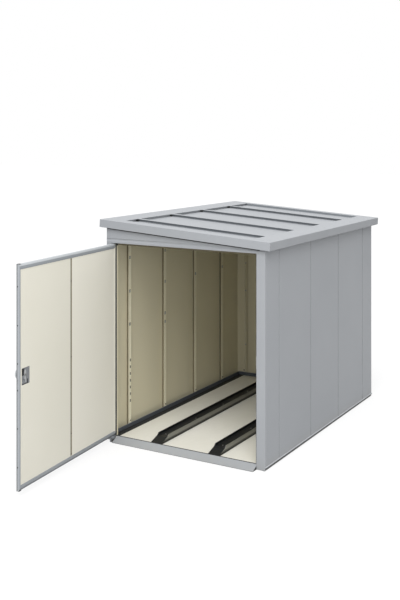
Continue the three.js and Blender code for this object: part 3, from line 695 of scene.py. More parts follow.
def finish_piece(
    name: str, bm: bmesh.types.BMesh, material: bpy.types.Material, body: Body = Body.CABIN,
    place: Matrix | None = None,
) -> None:
    """Move a mesh to its place, dress it and let it ride on its body.

    Args:
        name: the piece's name.
        bm: the mesh, in millimetres of the cabin or of the leaf, which is freed.
        material: the piece's finish.
        body: what it moves with.
        place: the transform to metres in the locker's frame, where it isn't the body's own.
    """
    if place is None:
        place = LEAF.matrix() if body is Body.DOOR else Matrix.Scale(MM, 4)
    bmesh.ops.transform(bm, matrix=place, verts=bm.verts)
    made = as_object(name, bm)
    made.data.materials.append(material)
    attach(made, body.value)
    log.info("added %s on %s, %d faces", name, body.value, len(made.data.polygons))


def round_edges(
    bm: bmesh.types.BMesh, edges: Iterable[bmesh.types.BMEdge], radius: float, steps: int = 2,
) -> None:
    """Round edges of a mesh.

    Args:
        bm: the mesh.
        edges: the edges.
        radius: how far the rounding reaches from an edge.
        steps: how many faces it takes.
    """
    bmesh.ops.bevel(
        bm, geom=list(edges), offset=radius, segments=steps, affect="EDGES", profile=0.5, material=-1,
    )


def pull_out(bm: bmesh.types.BMesh, faces: Iterable[bmesh.types.BMFace], shift: Point) -> None:
    """Extrude faces by a shift; they stay behind as the foot of the new form.

    Args:
        bm: the mesh.
        faces: the faces.
        shift: how far their copies move.
    """
    made = bmesh.ops.extrude_face_region(bm, geom=list(faces))["geom"]
    moved = [item for item in made if isinstance(item, bmesh.types.BMVert)]
    bmesh.ops.translate(bm, vec=shift, verts=moved)


def top_face(bm: bmesh.types.BMesh) -> bmesh.types.BMFace:
    """Return the highest face of a mesh."""
    return max(bm.faces, key=lambda face: face.calc_center_median().z)


def add_bar(bm: bmesh.types.BMesh, low: Point, high: Point, rounding: float = 0.0) -> None:
    """Add a bar between two corners, with its edges rounded.

    Args:
        bm: the mesh that takes it.
        low: its lowest corner.
        high: its highest corner.
        rounding: radius of its edges.
    """
    verts = bmesh.ops.create_cube(bm, size=1.0)["verts"]
    size = [b - a for a, b in zip(low, high)]
    middle = [(a + b) / 2 for a, b in zip(low, high)]
    bmesh.ops.scale(bm, vec=size, verts=verts)
    bmesh.ops.translate(bm, vec=middle, verts=verts)
    if rounding:
        round_edges(bm, {edge for vert in verts for edge in vert.link_edges}, rounding)


def add_rod(bm: bmesh.types.BMesh, start: Point, end: Point, radius: float, sides: int = 12) -> None:
    """Add a round bar.

    Args:
        bm: the mesh that takes it.
        start: the middle of one end.
        end: the middle of the other end.
        radius: its radius.
        sides: how many sides its outline has.
    """
    along = Vector(end) - Vector(start)
    turn = along.to_track_quat("Z", "Y").to_matrix().to_4x4()
    middle = Matrix.Translation((Vector(start) + Vector(end)) / 2)
    bmesh.ops.create_cone(
        bm, cap_ends=True, segments=sides, radius1=radius, radius2=radius, depth=along.length,
        matrix=middle @ turn,
    )


@dataclass(frozen=True)
class Fastener:
    """Head of a screw, bolt or rivet, made once and set down at many places.

    Sizes of the rim, the flange and the recess are shares of the radius or the height.
    """

    drive: Drive
    diameter: float
    height: float
    sides: int = 12
    rim: float = 0.45
    rim_steps: int = 3
    flange_radius: float = 1.35
    flange_low: float = -0.05
    flange_high: float = 0.2
    flange_sides: int = 16
    recess_inset: float = 0.12
    recess_depth: float = 0.5
    dimple: float = 0.3
    cross_corner: float = 0.17
    cross_arm: float = 0.5
    arm_reach_deg: float = 30
    arm_spread_deg: float = 14
    start_deg: float = 15
    twist_deg: float = 37

    def template(self) -> bpy.types.Mesh:
        """Make the head.

        Returns:
            A mesh that stands on Z nought and points up Z.
        """
        bm = bmesh.new()
        sides = 6 if self.drive is Drive.HEXAGON else self.sides
        radius = self.diameter / 2
        turn = Matrix.Rotation(math.radians(self.start_deg), 4, "Z")
        bmesh.ops.create_cone(
            bm, cap_ends=True, segments=sides, radius1=radius, radius2=radius, depth=self.height,
            matrix=Matrix.Translation((0, 0, self.height / 2)) @ turn,
        )
        round_edges(bm, top_face(bm).edges, self.height * self.rim, self.rim_steps)
        if self.drive is Drive.HEXAGON:
            low, high = (0, 0, self.height * self.flange_low), (0, 0, self.height * self.flange_high)
            add_rod(bm, low, high, radius * self.flange_radius, self.flange_sides)
        else:
            self.cut_recess(bm)
        mesh = bpy.data.meshes.new("fastener")
        bm.to_mesh(mesh)
        bm.free()
        return mesh

    def cut_recess(self, bm: bmesh.types.BMesh) -> None:
        """Sink a cross, or the dimple of a rivet, in the top face.

        Args:
            bm: the mesh of the head.
        """
        top = top_face(bm)
        radius = self.diameter / 2
        bmesh.ops.inset_region(bm, faces=[top], thickness=radius * self.recess_inset, depth=0)
        for vert in top.verts:
            angle = math.degrees(math.atan2(vert.co.y, vert.co.x))
            reach = self.dimple
            if self.drive is Drive.CROSS:
                arm = round(angle / QUARTER_TURN) * QUARTER_TURN
                corner = abs(angle - arm) > self.arm_reach_deg
                reach = self.cross_corner if corner else self.cross_arm
                angle = angle if corner else arm + math.copysign(self.arm_spread_deg, angle - arm)
            turn = math.radians(angle)
            vert.co.x, vert.co.y = radius * reach * math.cos(turn), radius * reach * math.sin(turn)
        pull_out(bm, [top], (0, 0, -self.height * self.recess_depth))
        bmesh.ops.delete(bm, geom=[top], context="FACES_ONLY")

    def set_down(
        self, name: str, places: Sequence[tuple[Point, Point]], material: bpy.types.Material,
        body: Body = Body.CABIN,
    ) -> None:
        """Make one piece of a head at each place.

        Args:
            name: the piece's name.
            places: the foot of each head, and the direction that it points in.
            material: the piece's finish.
            body: what it moves with.
        """
        bm = bmesh.new()
        mesh = self.template()
        for index, (foot, direction) in enumerate(places):
            before = len(bm.verts)
            bm.from_mesh(mesh)
            bm.verts.ensure_lookup_table()
            aim = Vector(direction).to_track_quat("Z", "Y").to_matrix().to_4x4()
            twist = Matrix.Rotation(math.radians(self.twist_deg * index), 4, "Z")
            bmesh.ops.transform(bm, matrix=Matrix.Translation(foot) @ aim @ twist, verts=bm.verts[before:])
        bpy.data.meshes.remove(mesh)
        finish_piece(name, bm, material, body)


@dataclass
class WallTrim:
    """Seals in the seams of the walls, and the bolts, clips, plugs and slot strip of the ribs inside."""

    finishes: Finishes
    bead_radius: float = 1.35
    bead_depth: float = 1.9
    bead_sides: int = 10
    fin_half: float = 0.5
    fin_depth: float = 24
    foot_clearance: float = 1
    top_clearance: float = 9
    bolt_heights: tuple[float, ...] = (1276, 1030, 784, 300)
    bolt: Fastener = Fastener(Drive.HEXAGON, 9, 4)
    plug_height: float = 68
    plug_radius: float = 6
    plug_thickness: float = 1.5
    plug_rounding: float = 0.4
    clip_heights: tuple[tuple[float, ...], ...] = (
        (1276, 1028, 784), (1276, 1032, 784, 717), (1031,), (1031,),
    )
    clip_width: float = 15
    clip_height: float = 22
    clip_rim: float = 1.6
    clip_thickness: float = 2.4
    clip_rounding: float = 0.5
    pad_thickness: float = 1
    pad_rounding: float = 0.3
    clip_screw: Fastener = Fastener(Drive.CROSS, 7, 1.4)
    slot_span: Flat = (200, 530)
    slot_offset: float = 8.7
    slot_width: float = 11.5
    slot_gap: float = 0.2
    slot_thickness: float = 1.6
    slot_rounding: float = 0.4

    def build(self) -> None:
        """Make the seals, the bolts, the plugs, the clips and the strip behind the slots."""
        self.build_seals()
        self.build_bolts()
        self.build_clips()
        self.build_slot_strip()

    def seam_lines(self) -> list[tuple[str, Vector, Vector]]:
        """Set out the seams.

        Returns:
            Each seam's wall, its foot on the wall's outer face and the direction into the cabin.
        """
        half, deep = CABIN.half_width, CABIN.half_depth
        lines = [("right", Vector((half, y, 0)), Vector((-1, 0, 0))) for y in CABIN.right_seams]
        lines += [("left", Vector((-half, y, 0)), Vector((1, 0, 0))) for y in CABIN.left_seams]
        lines += [("back", Vector((x, deep, 0)), Vector((0, -1, 0))) for x in CABIN.back_seams]
        return lines

    def build_seals(self) -> None:
        """Press a round bead with a flat fin behind it into each seam."""
        low = CABIN.wall_bottom + self.foot_clearance
        for wall in ("right", "left", "back"):
            bm = bmesh.new()
            for side, foot, inward in self.seam_lines():
                if side != wall:
                    continue
                high = CABIN.roof_at(foot.x) - self.top_clearance
                bead = foot + inward * self.bead_depth
                add_rod(bm, (bead.x, bead.y, low), (bead.x, bead.y, high), self.bead_radius, self.bead_sides)
                across = Vector((inward.y, inward.x, 0)) * self.fin_half
                ends = (bead, foot + inward * self.fin_depth)
                corners = [end + sign * across for end in ends for sign in (-1, 1)]
                xs = [corner.x for corner in corners]
                ys = [corner.y for corner in corners]
                add_bar(bm, (min(xs), min(ys), low), (max(xs), max(ys), high))
            finish_piece(f"seam_seals_{wall}", bm, self.finishes.rubber)

    def build_bolts(self) -> None:
        """Set bolts up each rib of the right and back walls, and a rubber plug in the foot of every rib."""
        plugs, places = bmesh.new(), []
        for side, foot, inward in self.seam_lines():
            rib = foot + inward * CABIN.wall_depth
            aside = Vector((inward.y, inward.x, 0)) * (CABIN.wall_lip / 2)
            spot = rib - aside
            for height in self.bolt_heights if side != "left" else ():
                places.append(((spot.x, spot.y, height), tuple(inward)))
            spot = rib + aside
            start = (spot.x, spot.y, self.plug_height)
            end = tuple(Vector(start) + inward * self.plug_thickness)
            add_rod(plugs, start, end, self.plug_radius)
        self.bolt.set_down("rib_bolts", places, self.finishes.steel)
        round_edges(plugs, plugs.edges, self.plug_rounding)
        finish_piece("rib_foot_plugs", plugs, self.finishes.rubber)

    def build_clips(self) -> None:
        """Set the clips that hold the ribs of the left wall together, each on a rubber pad with a screw."""
        pads, clips, screws = bmesh.new(), bmesh.new(), []
        face = CABIN.wall_depth - CABIN.half_width
        half_y, half_z, rim = self.clip_width / 2, self.clip_height / 2, self.clip_rim
        for seam, heights in zip(CABIN.left_seams, self.clip_heights):
            for height in heights:
                low = (face + LIFT, seam - half_y, height - half_z)
                high = (face + self.pad_thickness, seam + half_y, height + half_z)
                add_bar(pads, low, high, self.pad_rounding)
                screws.append(((face + self.clip_thickness, seam, height), (1, 0, 0)))
                low = (high[0], low[1] + rim, low[2] + rim)
                high = (face + self.clip_thickness, high[1] - rim, high[2] - rim)
                add_bar(clips, low, high, self.clip_rounding)
        finish_piece("rib_clip_pads", pads, self.finishes.rubber)
        finish_piece("rib_clips", clips, self.finishes.galvanised)
        self.clip_screw.set_down("rib_clip_screws", screws, self.finishes.steel)

    def build_slot_strip(self) -> None:
        """Close the row of slots in the first rib on the left with a black strip behind it, which paints the
        shade seen through them.
        """
        bm = bmesh.new()
        middle = CABIN.left_seams[0] + self.slot_offset
        back = CABIN.wall_depth - CABIN.half_width - CABIN.sheet - self.slot_gap
        low, high = self.slot_span
        half = self.slot_width / 2
        corner = (back - self.slot_thickness, middle - half, low)
        add_bar(bm, corner, (back, middle + half, high), self.slot_rounding)
        finish_piece("rib_slot_strip", bm, self.finishes.rubber)


@dataclass
class Doorway:
    """Seals round the door opening and on the sill, the ramp's end plugs and the floor's edge strips."""

    finishes: Finishes
    seal_thickness: float = 5
    seal_width_left: float = 27.4
    seal_width_right: float = 10
    seal_clearance: float = 3.5
    seal_foot: float = 1
    seal_head: float = 4
    seal_skin: float = 0.1
    seal_rounding: float = 1.6
    block_low: Point = (-567, -977.2, 1392)
    block_high: Point = (-553, -972.3, 1406)
    block_rounding: float = 0.8
    strip_front: float = -982
    strip_back: float = -975
    strip_height: float = 2.2
    strip_inset: float = 2
    strip_foot_share: float = 0.4
    strip_rounding: float = 0.3
    strip_ribs: int = 3
    rib_radius_share: float = 0.3
    rib_inset: float = 1
    rib_sides: int = 8
    edge_inner: float = 549
    edge_outer: float = 595
    edge_front: float = 1
    edge_back: float = 40
    edge_base: float = 1.4
    edge_top: float = 2.6
    step_left: float = 2
    step_right: float = 6
    step_ends: float = 1
    edge_rounding: float = 0.4
    plug_profile: tuple[Flat, ...] = ((-1042, 0.6), (-1042, 4.3), (-990, 25.9), (-990, 0.6))
    plug_length: float = 40
    plug_inset: float = 0.15
    plug_rim: float = 1.2
    plug_dish: float = 1.5

    def build(self) -> None:
        """Make the seals, the sill's strip, the floor's strips and the ramp's plugs."""
        self.build_seals()
        self.build_sill_seal()
        self.build_floor_strips()
        self.build_plugs()

    def build_seals(self) -> None:
        """Lay a soft seal on the face of each door stop, and a block below the top pivot."""
        back = -CABIN.half_depth + CABIN.jamb_depth - self.seal_skin
        front = back - self.seal_thickness
        low = CABIN.sill_top + self.strip_height + self.seal_foot
        # The hinge-side seal is slate-grey and nearly as wide as the stop's face, so it also paints the
        # shade on that face
        edge = CABIN.opening_left + self.seal_clearance
        high = (edge + self.seal_width_left, back, self.block_low[2] - self.seal_foot)
        bm = bmesh.new()
        add_bar(bm, (edge, front, low), high, self.seal_rounding)
        finish_piece("door_seal_hinge_side", bm, self.finishes.slate)
        edge = CABIN.opening_right - self.seal_clearance
        high = (edge, back, CABIN.lintel_bottom - self.seal_head)
        bm = bmesh.new()
        add_bar(bm, (edge - self.seal_width_right, front, low), high, self.seal_rounding)
        add_bar(bm, self.block_low, self.block_high, self.block_rounding)
        finish_piece("door_seal_lock_side", bm, self.finishes.rubber)

    def build_sill_seal(self) -> None:
        """Lay the ribbed seal along the sill's flat top."""
        bm = bmesh.new()
        x0, x1 = CABIN.sill_left + self.strip_inset, CABIN.sill_right - self.strip_inset
        base = CABIN.sill_top + LIFT
        foot = base + self.strip_height * self.strip_foot_share
        add_bar(bm, (x0, self.strip_front, base), (x1, self.strip_back, foot), self.strip_rounding)
        pitch = (self.strip_back - self.strip_front) / self.strip_ribs
        radius = self.strip_height * self.rib_radius_share
        x0, x1 = x0 + self.rib_inset, x1 - self.rib_inset
        top = base + self.strip_height - radius
        for index in range(self.strip_ribs):
            y = self.strip_front + (index + 0.5) * pitch
            add_rod(bm, (x0, y, top), (x1, y, top), radius, self.rib_sides)
            add_bar(bm, (x0, y - radius / 2, foot), (x1, y + radius / 2, top))
        finish_piece("sill_seal", bm, self.finishes.rubber)

    def build_floor_strips(self) -> None:
        """Lay a stepped edge strip on each side of the floor."""
        bm = bmesh.new()
        front = CABIN.jamb_depth + self.edge_front - CABIN.half_depth
        back = CABIN.half_depth - self.edge_back
        base = CABIN.floor_top + LIFT
        middle, top = base + self.edge_base, base + self.edge_top
        for x0, x1 in ((-self.edge_outer, -self.edge_inner), (self.edge_inner, self.edge_outer)):
            add_bar(bm, (x0, front, base), (x1, back, middle), self.edge_rounding)
            low = (x0 + self.step_left, front + self.step_ends, middle)
            high = (x1 - self.step_right, back - self.step_ends, top)
            add_bar(bm, low, high, self.edge_rounding)
        finish_piece("floor_edge_strips", bm, self.finishes.rubber)

    def build_plugs(self) -> None:
        """Fill both ends of the hollow ramp with a moulded wedge, its outer face dished; its near-black also
        paints the shade inside the hollow ends.
        """
        bm = bmesh.new()
        for end, sign in ((CABIN.sill_left, 1), (CABIN.sill_right, -1)):
            x = end + sign * self.plug_inset
            face = bm.faces.new([bm.verts.new((x, y, z)) for y, z in self.plug_profile])
            pull_out(bm, [face], (sign * self.plug_length, 0, 0))
            bmesh.ops.inset_region(bm, faces=[face], thickness=self.plug_rim, depth=0)
            bmesh.ops.translate(bm, vec=(sign * self.plug_dish, 0, 0), verts=face.verts)
        bmesh.ops.recalc_face_normals(bm, faces=bm.faces)
        finish_piece("ramp_end_plugs", bm, self.finishes.plug)


@dataclass
class RoofTrim:
    """Black strip of painted shadow between the roof frame and the lintel, and black blocks of painted shade
    at the left ends of the rib caps.

    Heights are measured square to the sloping roof, from its upper plane.
    """

    finishes: Finishes
    shadow_strip_front: float = -1003.2
    shadow_strip_heights: Flat = (-66, -50)
    shadow_strip_ends: Flat = (-622, 600)
    shadow_strip_skin: float = 0.1
    shadow_strip_rounding: float = 0.6
    caps: tuple[str, ...] = ("rib_cap_1", "rib_cap_2", "rib_cap_3", "rib_cap_4")
    shade_reach: float = 9
    shade_block_depth: float = 13
    shade_block_gap: float = 0.3
    shade_block_top: float = -4
    shade_block_foot: float = -16
    shade_block_rounding: float = 0.8

    def build(self) -> None:
        """Make the strip of painted shadow and the blocks of painted shade."""
        tilt = Matrix.Rotation(math.atan2(CABIN.roof_rise, 2 * CABIN.half_width), 4, "Y")
        roof = Matrix.Scale(MM, 4) @ Matrix.Translation((0, 0, CABIN.roof_at(0))) @ tilt
        # Black strip under the fascia's front edge, as painted shadow of its overhang
        bm = bmesh.new()
        (low, high), (left, right) = self.shadow_strip_heights, self.shadow_strip_ends
        corner = (right, -CABIN.half_depth - self.shadow_strip_skin, high)
        add_bar(bm, (left, self.shadow_strip_front, low), corner, self.shadow_strip_rounding)
        finish_piece("lintel_painted_shadow_strip", bm, self.finishes.rubber, place=roof)
        # Black blocks at the rib caps' left ends, as painted shade in those corners
        bm = bmesh.new()
        for name in self.caps:
            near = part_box(name)[0]
            x, y = near[0] / MM, near[1] / MM
            low = (x - self.shade_reach, y - self.shade_block_depth, self.shade_block_foot)
            high = (x + self.shade_reach, y - self.shade_block_gap, self.shade_block_top)
            add_bar(bm, low, high, self.shade_block_rounding)
        finish_piece("rib_end_shade_blocks", bm, self.finishes.rubber, place=roof)


@dataclass
class ChannelRivets:
    """Blind rivets that hold the wheel channels to the floor."""

    finishes: Finishes
    groove_height: float = 55.3
    rows: tuple[float, ...] = (-840, -420, 0, 420, 880)
    rivet: Fastener = Fastener(Drive.RIVET, 11, 2.4)

    def build(self) -> None:
        """Set a row of rivets along the bottom of each groove."""
        half = CABIN.channel_spacing / 2
        places = [((x, y, self.groove_height), (0, 0, 1)) for x in (-half, half) for y in self.rows]
        self.rivet.set_down("channel_rivets", places, self.finishes.steel)


@dataclass
class HingeFittings:
    """Screws of the bottom pivot bracket, and the bushes round both pins."""

    finishes: Finishes
    screw: Fastener = Fastener(Drive.CROSS, 9, 2.2)
    plate_front: float = -1003.3
    screw_places: tuple[Flat, ...] = ((-600, 10), (-588, 24), (-577, 24))
    bush_radius: float = 7.5
    bush_sides: int = 24
    bush_rounding: float = 0.35
    lower_bush: Flat = (-1.4, -0.1)
    upper_bush: Flat = (0.2, 1.5)

    def build(self) -> None:
        """Make the screws of the bottom bracket and a bush on each pin."""
        places = [((x, self.plate_front, z), (0, -1, 0)) for x, z in self.screw_places]
        self.screw.set_down("hinge_screws", places, self.finishes.steel)
        bm = bmesh.new()
        x, y, foot = LEAF.pivot
        for level, (low, high) in ((foot, self.lower_bush), (foot + LEAF.height, self.upper_bush)):
            add_rod(bm, (x, y, level + low), (x, y, level + high), self.bush_radius, self.bush_sides)
        rims = [edge for face in bm.faces if len(face.verts) == self.bush_sides for edge in face.edges]
        round_edges(bm, rims, self.bush_rounding)
        finish_piece("hinge_bushes", bm, self.finishes.chrome)


@dataclass
class DoorFasteners:
    """Screws and caps of the leaf's free edge, and the strip of painted shade, the screws and the plug in
    the seam of its liners.
    """

    finishes: Finishes
    edge_heights: tuple[float, ...] = (1269, 1034, 803, 642, 411, 177)
    edge_depth: float = 9.5
    edge_screw: Fastener = Fastener(Drive.CROSS, 8, 0.9)
    edge_sunk: float = 0.3
    cap_length: float = 24
    cap_thickness: float = 0.6
    cap_inset: float = 0.4
    cap_margin: float = 0.6
    cap_rounding: float = 0.2
    seam_strip_width: float = 16
    seam_strip_thickness: float = 0.7
    seam_strip_inset: float = 35
    seam_strip_rounding: float = 0.2
    seam_heights: tuple[float, ...] = (1220, 720, 215)
    seam_screw: Fastener = Fastener(Drive.CROSS, 8, 1.6)
    drain_height: float = 82
    drain_plug: Fastener = Fastener(Drive.RIVET, 9, 0.8)

    def build(self) -> None:
        """Dress the free edge and the seam."""
        self.build_edge()
        self.build_seam()

    def build_edge(self) -> None:
        """Set the screws of the free edge and cap both of its corners."""
        foot = LEAF.pivot[2]
        x = LEAF.width - self.edge_sunk
        screws = [((x, self.edge_depth, z - foot), (1, 0, 0)) for z in self.edge_heights]
        self.edge_screw.set_down("door_edge_screws", screws, self.finishes.black, Body.DOOR)
        bm = bmesh.new()
        x0, x1 = LEAF.width - self.cap_length, LEAF.width - self.cap_inset
        y0, y1 = self.cap_margin, LEAF.thickness - self.cap_margin
        top = LEAF.height
        for low, high in ((-self.cap_thickness, -LIFT), (top + LIFT, top + self.cap_thickness)):
            add_bar(bm, (x0, y0, low), (x1, y1, high), self.cap_rounding)
        finish_piece("door_corner_caps", bm, self.finishes.rubber, Body.DOOR)

    def build_seam(self) -> None:
        """Lay a brown-grey strip in the seam as painted shade, and set its screws and the drain hole's dark
        plug on it.
        """
        foot = LEAF.pivot[2]
        middle = LEAF.width / 2
        face = LEAF.mullion_face + LIFT
        top = face + self.seam_strip_thickness
        bm = bmesh.new()
        low = (middle - self.seam_strip_width / 2, face, self.seam_strip_inset)
        high = (middle + self.seam_strip_width / 2, top, LEAF.height - self.seam_strip_inset)
        add_bar(bm, low, high, self.seam_strip_rounding)
        finish_piece("door_seam_shade_strip", bm, self.finishes.seam_shade_strip, Body.DOOR)
        screws = [((middle, top, z - foot), (0, 1, 0)) for z in self.seam_heights]
        self.seam_screw.set_down("door_seam_screws", screws, self.finishes.black, Body.DOOR)
        drain = [((middle, top, self.drain_height - foot), (0, 1, 0))]
        self.drain_plug.set_down("door_drain_plug", drain, self.finishes.rubber, Body.DOOR)


@dataclass
class LockDetail:
    """Parts on the lock case that show through the window of the liner.

    Places are given as the distance from the leaf's free edge and the height from the lock's middle. The
    parts are thin, so that the cam passes over them.
    """

    finishes: Finishes
    centre_height: float = 717
    blocks: tuple[tuple[Flat, Flat], ...] = (
        ((30.5, 6), (57, 48)), ((86, -49), (96, -22)), ((31, -50), (96, -45)),
    )
    block_rounding: float = 0.08
    ring_middle: Flat = (65, 19)
    ring_radii: Flat = (13, 5)
    ring_sides: int = 24
    arm: tuple[Flat, ...] = ((61, 9), (70, 9), (76, -40), (68, -40))
    proud: float = 0.2
    rivets: tuple[Flat, ...] = ((99, 42), (40, -36))
    rivet: Fastener = Fastener(Drive.RIVET, 6, 1.2)

    def build(self) -> None:
        """Make the thin black blocks that paint the shade in the case's square hole and slits, the bright
        lever and the case's two rivets.
        """
        face = LEAF.case_face + LIFT
        bm = bmesh.new()
        for (near, low), (far, high) in self.blocks:
            corners = self.place((far, low), face), self.place((near, high), face + self.proud)
            add_bar(bm, *corners, self.block_rounding)
        finish_piece("lock_shade_blocks", bm, self.finishes.rubber, Body.DOOR)
        self.build_lever(face)
        rivets = [(self.place(spot, face), (0, 1, 0)) for spot in self.rivets]
        self.rivet.set_down("lock_case_rivets", rivets, self.finishes.steel, Body.DOOR)

    def place(self, spot: Flat, depth: float) -> Point:
        """Turn a place on the lock into leaf millimetres."""
        return LEAF.width - spot[0], depth, self.centre_height - LEAF.pivot[2] + spot[1]

    def build_lever(self, face: float) -> None:
        """Make the ring round the spindle's end and the arm that hangs from it.

        Args:
            face: depth of the face that they lie on.
        """
        bm = bmesh.new()
        x, z = self.ring_middle
        rings = []
        for radius in self.ring_radii:
            turns = [math.tau * index / self.ring_sides for index in range(self.ring_sides)]
            spots = [(x + radius * math.cos(turn), z + radius * math.sin(turn)) for turn in turns]
            rings.append([bm.verts.new(self.place(spot, face)) for spot in spots])
        outer, inner = rings
        plates = [
            bm.faces.new((outer[i - 1], outer[i], inner[i], inner[i - 1])) for i in range(self.ring_sides)
        ]
        plates.append(bm.faces.new([bm.verts.new(self.place(spot, face)) for spot in self.arm]))
        pull_out(bm, plates, (0, self.proud, 0))
        bmesh.ops.recalc_face_normals(bm, faces=bm.faces)
        finish_piece("lock_lever", bm, self.finishes.bright_zinc, Body.DOOR)


@dataclass
class Dresser:
    """Gives the carried-over nodes their finish and their rounded edges."""

    nodes: dict[str, bpy.types.Object]
    finishes: Finishes
    weld: float = 0.001
    bevel_steps: int = 2
    sharp_deg: float = 40

    def build(self) -> None:
        """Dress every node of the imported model."""
        finishes = self.finishes
        # How the names of nodes begin, their finish, and the width of the bevel
        for starts, material, rounding in (
            (("side_panel", "back_panel", "corner_panel", "lintel"), finishes.walls, 0.4),
            (("threshold", "fascia", "rib_cap", "door_skin"), finishes.outside, 0.4),
            (("roof_pan",), finishes.pans, 0.4),
            (("sill",), finishes.sill, 0.4),
            (("base_rail",), finishes.rails, 0.4),
            (("door_rail",), finishes.frame, 0.4),
            (("door_stile_lock",), finishes.lock_stile, 0.4),
            (("door_stile_hinge",), finishes.hinge_stile, 0.4),
            (("door_liner_lock", "door_mullion"), finishes.cream, 0.3),
            (("door_liner_hinge",), finishes.painted_light_cream, 0.3),
            (("floor_panel",), finishes.floor, 0.3),
            (("wheel_channel",), finishes.channel, 0.8),
            (("floor_bearer", "strike_plate"), finishes.galvanised, 0.3),
            (("lock_case",), finishes.zinc, 0.3),
            (("hinge_shoe", "hinge_bracket_top"), finishes.black, 0.4),
            (("hinge_bracket_bottom",), finishes.bracket, 0.4),
            (("knob_rose", "door_knob"), finishes.chrome, 0.5),
            (("lock_cam",), finishes.bright_zinc, 0.3),
            (("key_plug", "lock_bolt"), finishes.steel, 0.3),
        ):
            self.dress(starts, material, rounding)

    def dress(self, starts: tuple[str, ...], material: bpy.types.Material, rounding: float) -> None:
        """Put a material on nodes, with a bevel on their sharp edges.

        Args:
            starts: how the names of the nodes begin.
            material: their finish.
            rounding: width of the bevel.
        """
        for name, node in self.nodes.items():
            if not name.startswith(starts):
                continue
            node.data.materials.clear()
            node.data.materials.append(material)
            weld = node.modifiers.new("weld", "WELD")
            weld.merge_threshold = self.weld * MM
            bevel = node.modifiers.new("rounded_edges", "BEVEL")
            bevel.width = rounding * MM
            bevel.segments = self.bevel_steps
            bevel.limit_method = "ANGLE"
            bevel.angle_limit = math.radians(self.sharp_deg)
            bevel.harden_normals = True
            log.info("dressed %s in %s", name, material.name)


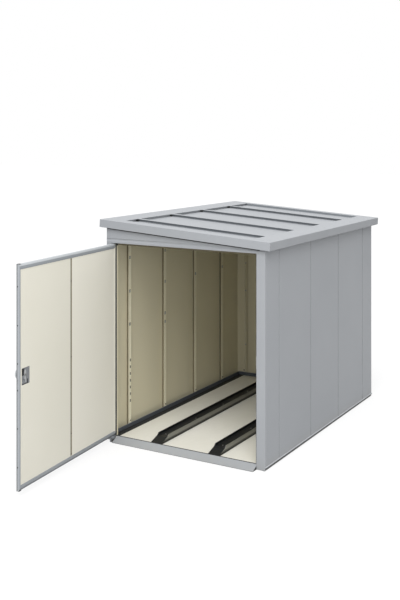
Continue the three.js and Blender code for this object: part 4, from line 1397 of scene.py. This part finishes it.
@dataclass
class Studio:
    """Pale floor, soft lights and the camera of the photograph; places are in metres."""

    floor_size: float = 40.0
    floor_colour: str = "ababab"
    shadow_colour: str = "8f8f8f"
    floor_lift: float = 0.72
    sky: float = 0.71
    key_turn_deg: float = 20
    key_height_deg: float = 52
    key_distance: float = 8
    key_power: float = 2.1
    key_softness_deg: float = 45
    fill_place: Point = (1.7, -3.1, 1.8)
    fill_aim: Point = (-0.5, -1.1, 0.7)
    fill_size: float = 1.5
    fill_power: float = 17
    camera_place: Point = (3.289, -6.374, 2.197)
    camera_turn_deg: float = 30.342
    camera_lens_mm: float = 55.31
    camera_sensor_mm: float = 36
    camera_shift_y: float = -0.2784

    def build(self) -> None:
        """Set up the floor, the world, the lamps, the camera and the view transform."""
        self.build_floor()
        self.build_world()
        self.build_key()
        self.build_fill()
        self.build_camera()
        bpy.context.scene.view_settings.view_transform = "Standard"

    def seen(self, graph: Graph) -> Any:
        """Give one for camera and glossy rays and nought for the light on the object.

        Args:
            graph: the tree that asks.

        Returns:
            The socket of the value.
        """
        rays = graph.add("LightPath").outputs
        either = graph.add("Math", {0: rays["Is Camera Ray"], 1: rays["Is Glossy Ray"]}, operation="MAXIMUM")
        return either.outputs[0]

    def build_floor(self) -> None:
        """Lay the floor, white to the camera and in reflections, with the locker's shadow kept faint."""
        bm = bmesh.new()
        bmesh.ops.create_grid(bm, x_segments=1, y_segments=1, size=self.floor_size)
        floor = as_object("studio_floor", bm)
        graph = Graph(bpy.data.materials.new("studio_floor"))
        plain = graph.add("BsdfDiffuse", {"Color": linear(self.floor_colour)})
        faint = graph.add("BsdfDiffuse", {"Color": linear(self.shadow_colour)})
        lift = graph.add("Emission", {"Color": linear("ffffff"), "Strength": self.floor_lift})
        lit = graph.add("AddShader", {0: faint.outputs[0], 1: lift.outputs[0]})
        shader = graph.add("MixShader", {0: self.seen(graph), 1: plain.outputs[0], 2: lit.outputs[0]})
        floor.data.materials.append(graph.close(shader))

    def build_world(self) -> None:
        """Light the scene from all round, and show white to the camera and in reflections."""
        world = bpy.data.worlds.new("studio")
        bpy.context.scene.world = world
        graph = Graph(world)
        strength = graph.add("MapRange", {"Value": self.seen(graph), "To Min": self.sky, "To Max": 1.0})
        sky = graph.add("Background", {"Color": linear("ffffff"), "Strength": strength.outputs[0]})
        graph.close(sky, "OutputWorld")

    def build_key(self) -> None:
        """Hang the distant soft lamp, its turn counted from straight in front towards the right."""
        data = bpy.data.lights.new("key", "SUN")
        data.energy = self.key_power
        data.angle = math.radians(self.key_softness_deg)
        turn, height = math.radians(self.key_turn_deg), math.radians(self.key_height_deg)
        level = math.cos(height)
        towards = Vector((math.sin(turn) * level, -math.cos(turn) * level, math.sin(height)))
        self.hang(data, towards * self.key_distance, towards)

    def build_fill(self) -> None:
        """Hang the near square lamp that lights the open door and the cabin's inside."""
        data = bpy.data.lights.new("fill", "AREA")
        data.energy = self.fill_power
        data.size = self.fill_size
        place = Vector(self.fill_place)
        self.hang(data, place, place - Vector(self.fill_aim))

    def hang(self, data: bpy.types.Light, place: Vector, backwards: Vector) -> None:
        """Put a lamp in its place.

        Args:
            data: the lamp.
            place: where it hangs.
            backwards: the direction that it is turned away from.
        """
        lamp = bpy.data.objects.new(data.name, data)
        bpy.context.scene.collection.objects.link(lamp)
        lamp.location = place
        lamp.rotation_euler = backwards.to_track_quat("Z", "Y").to_euler()

    def build_camera(self) -> None:
        """Put the camera where the photograph was taken from, level, with its lens shifted down."""
        data = bpy.data.cameras.new("camera")
        data.lens = self.camera_lens_mm
        data.sensor_width = self.camera_sensor_mm
        data.shift_y = self.camera_shift_y
        camera = bpy.data.objects.new("camera", data)
        bpy.context.scene.collection.objects.link(camera)
        camera.location = self.camera_place
        camera.rotation_euler = (math.radians(QUARTER_TURN), 0, math.radians(self.camera_turn_deg))
        bpy.context.scene.camera = camera


def main() -> None:
    """Build the locker's looks in order."""
    logging.basicConfig(level=logging.INFO, format="%(message)s")
    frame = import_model()
    finishes = Finishes()
    Studio().build()
    Dresser(frame["nodes"], finishes).build()
    for assembly in (WallTrim, Doorway, RoofTrim, ChannelRivets, HingeFittings, DoorFasteners, LockDetail):
        assembly(finishes).build()


if __name__ == "__main__":
    main()
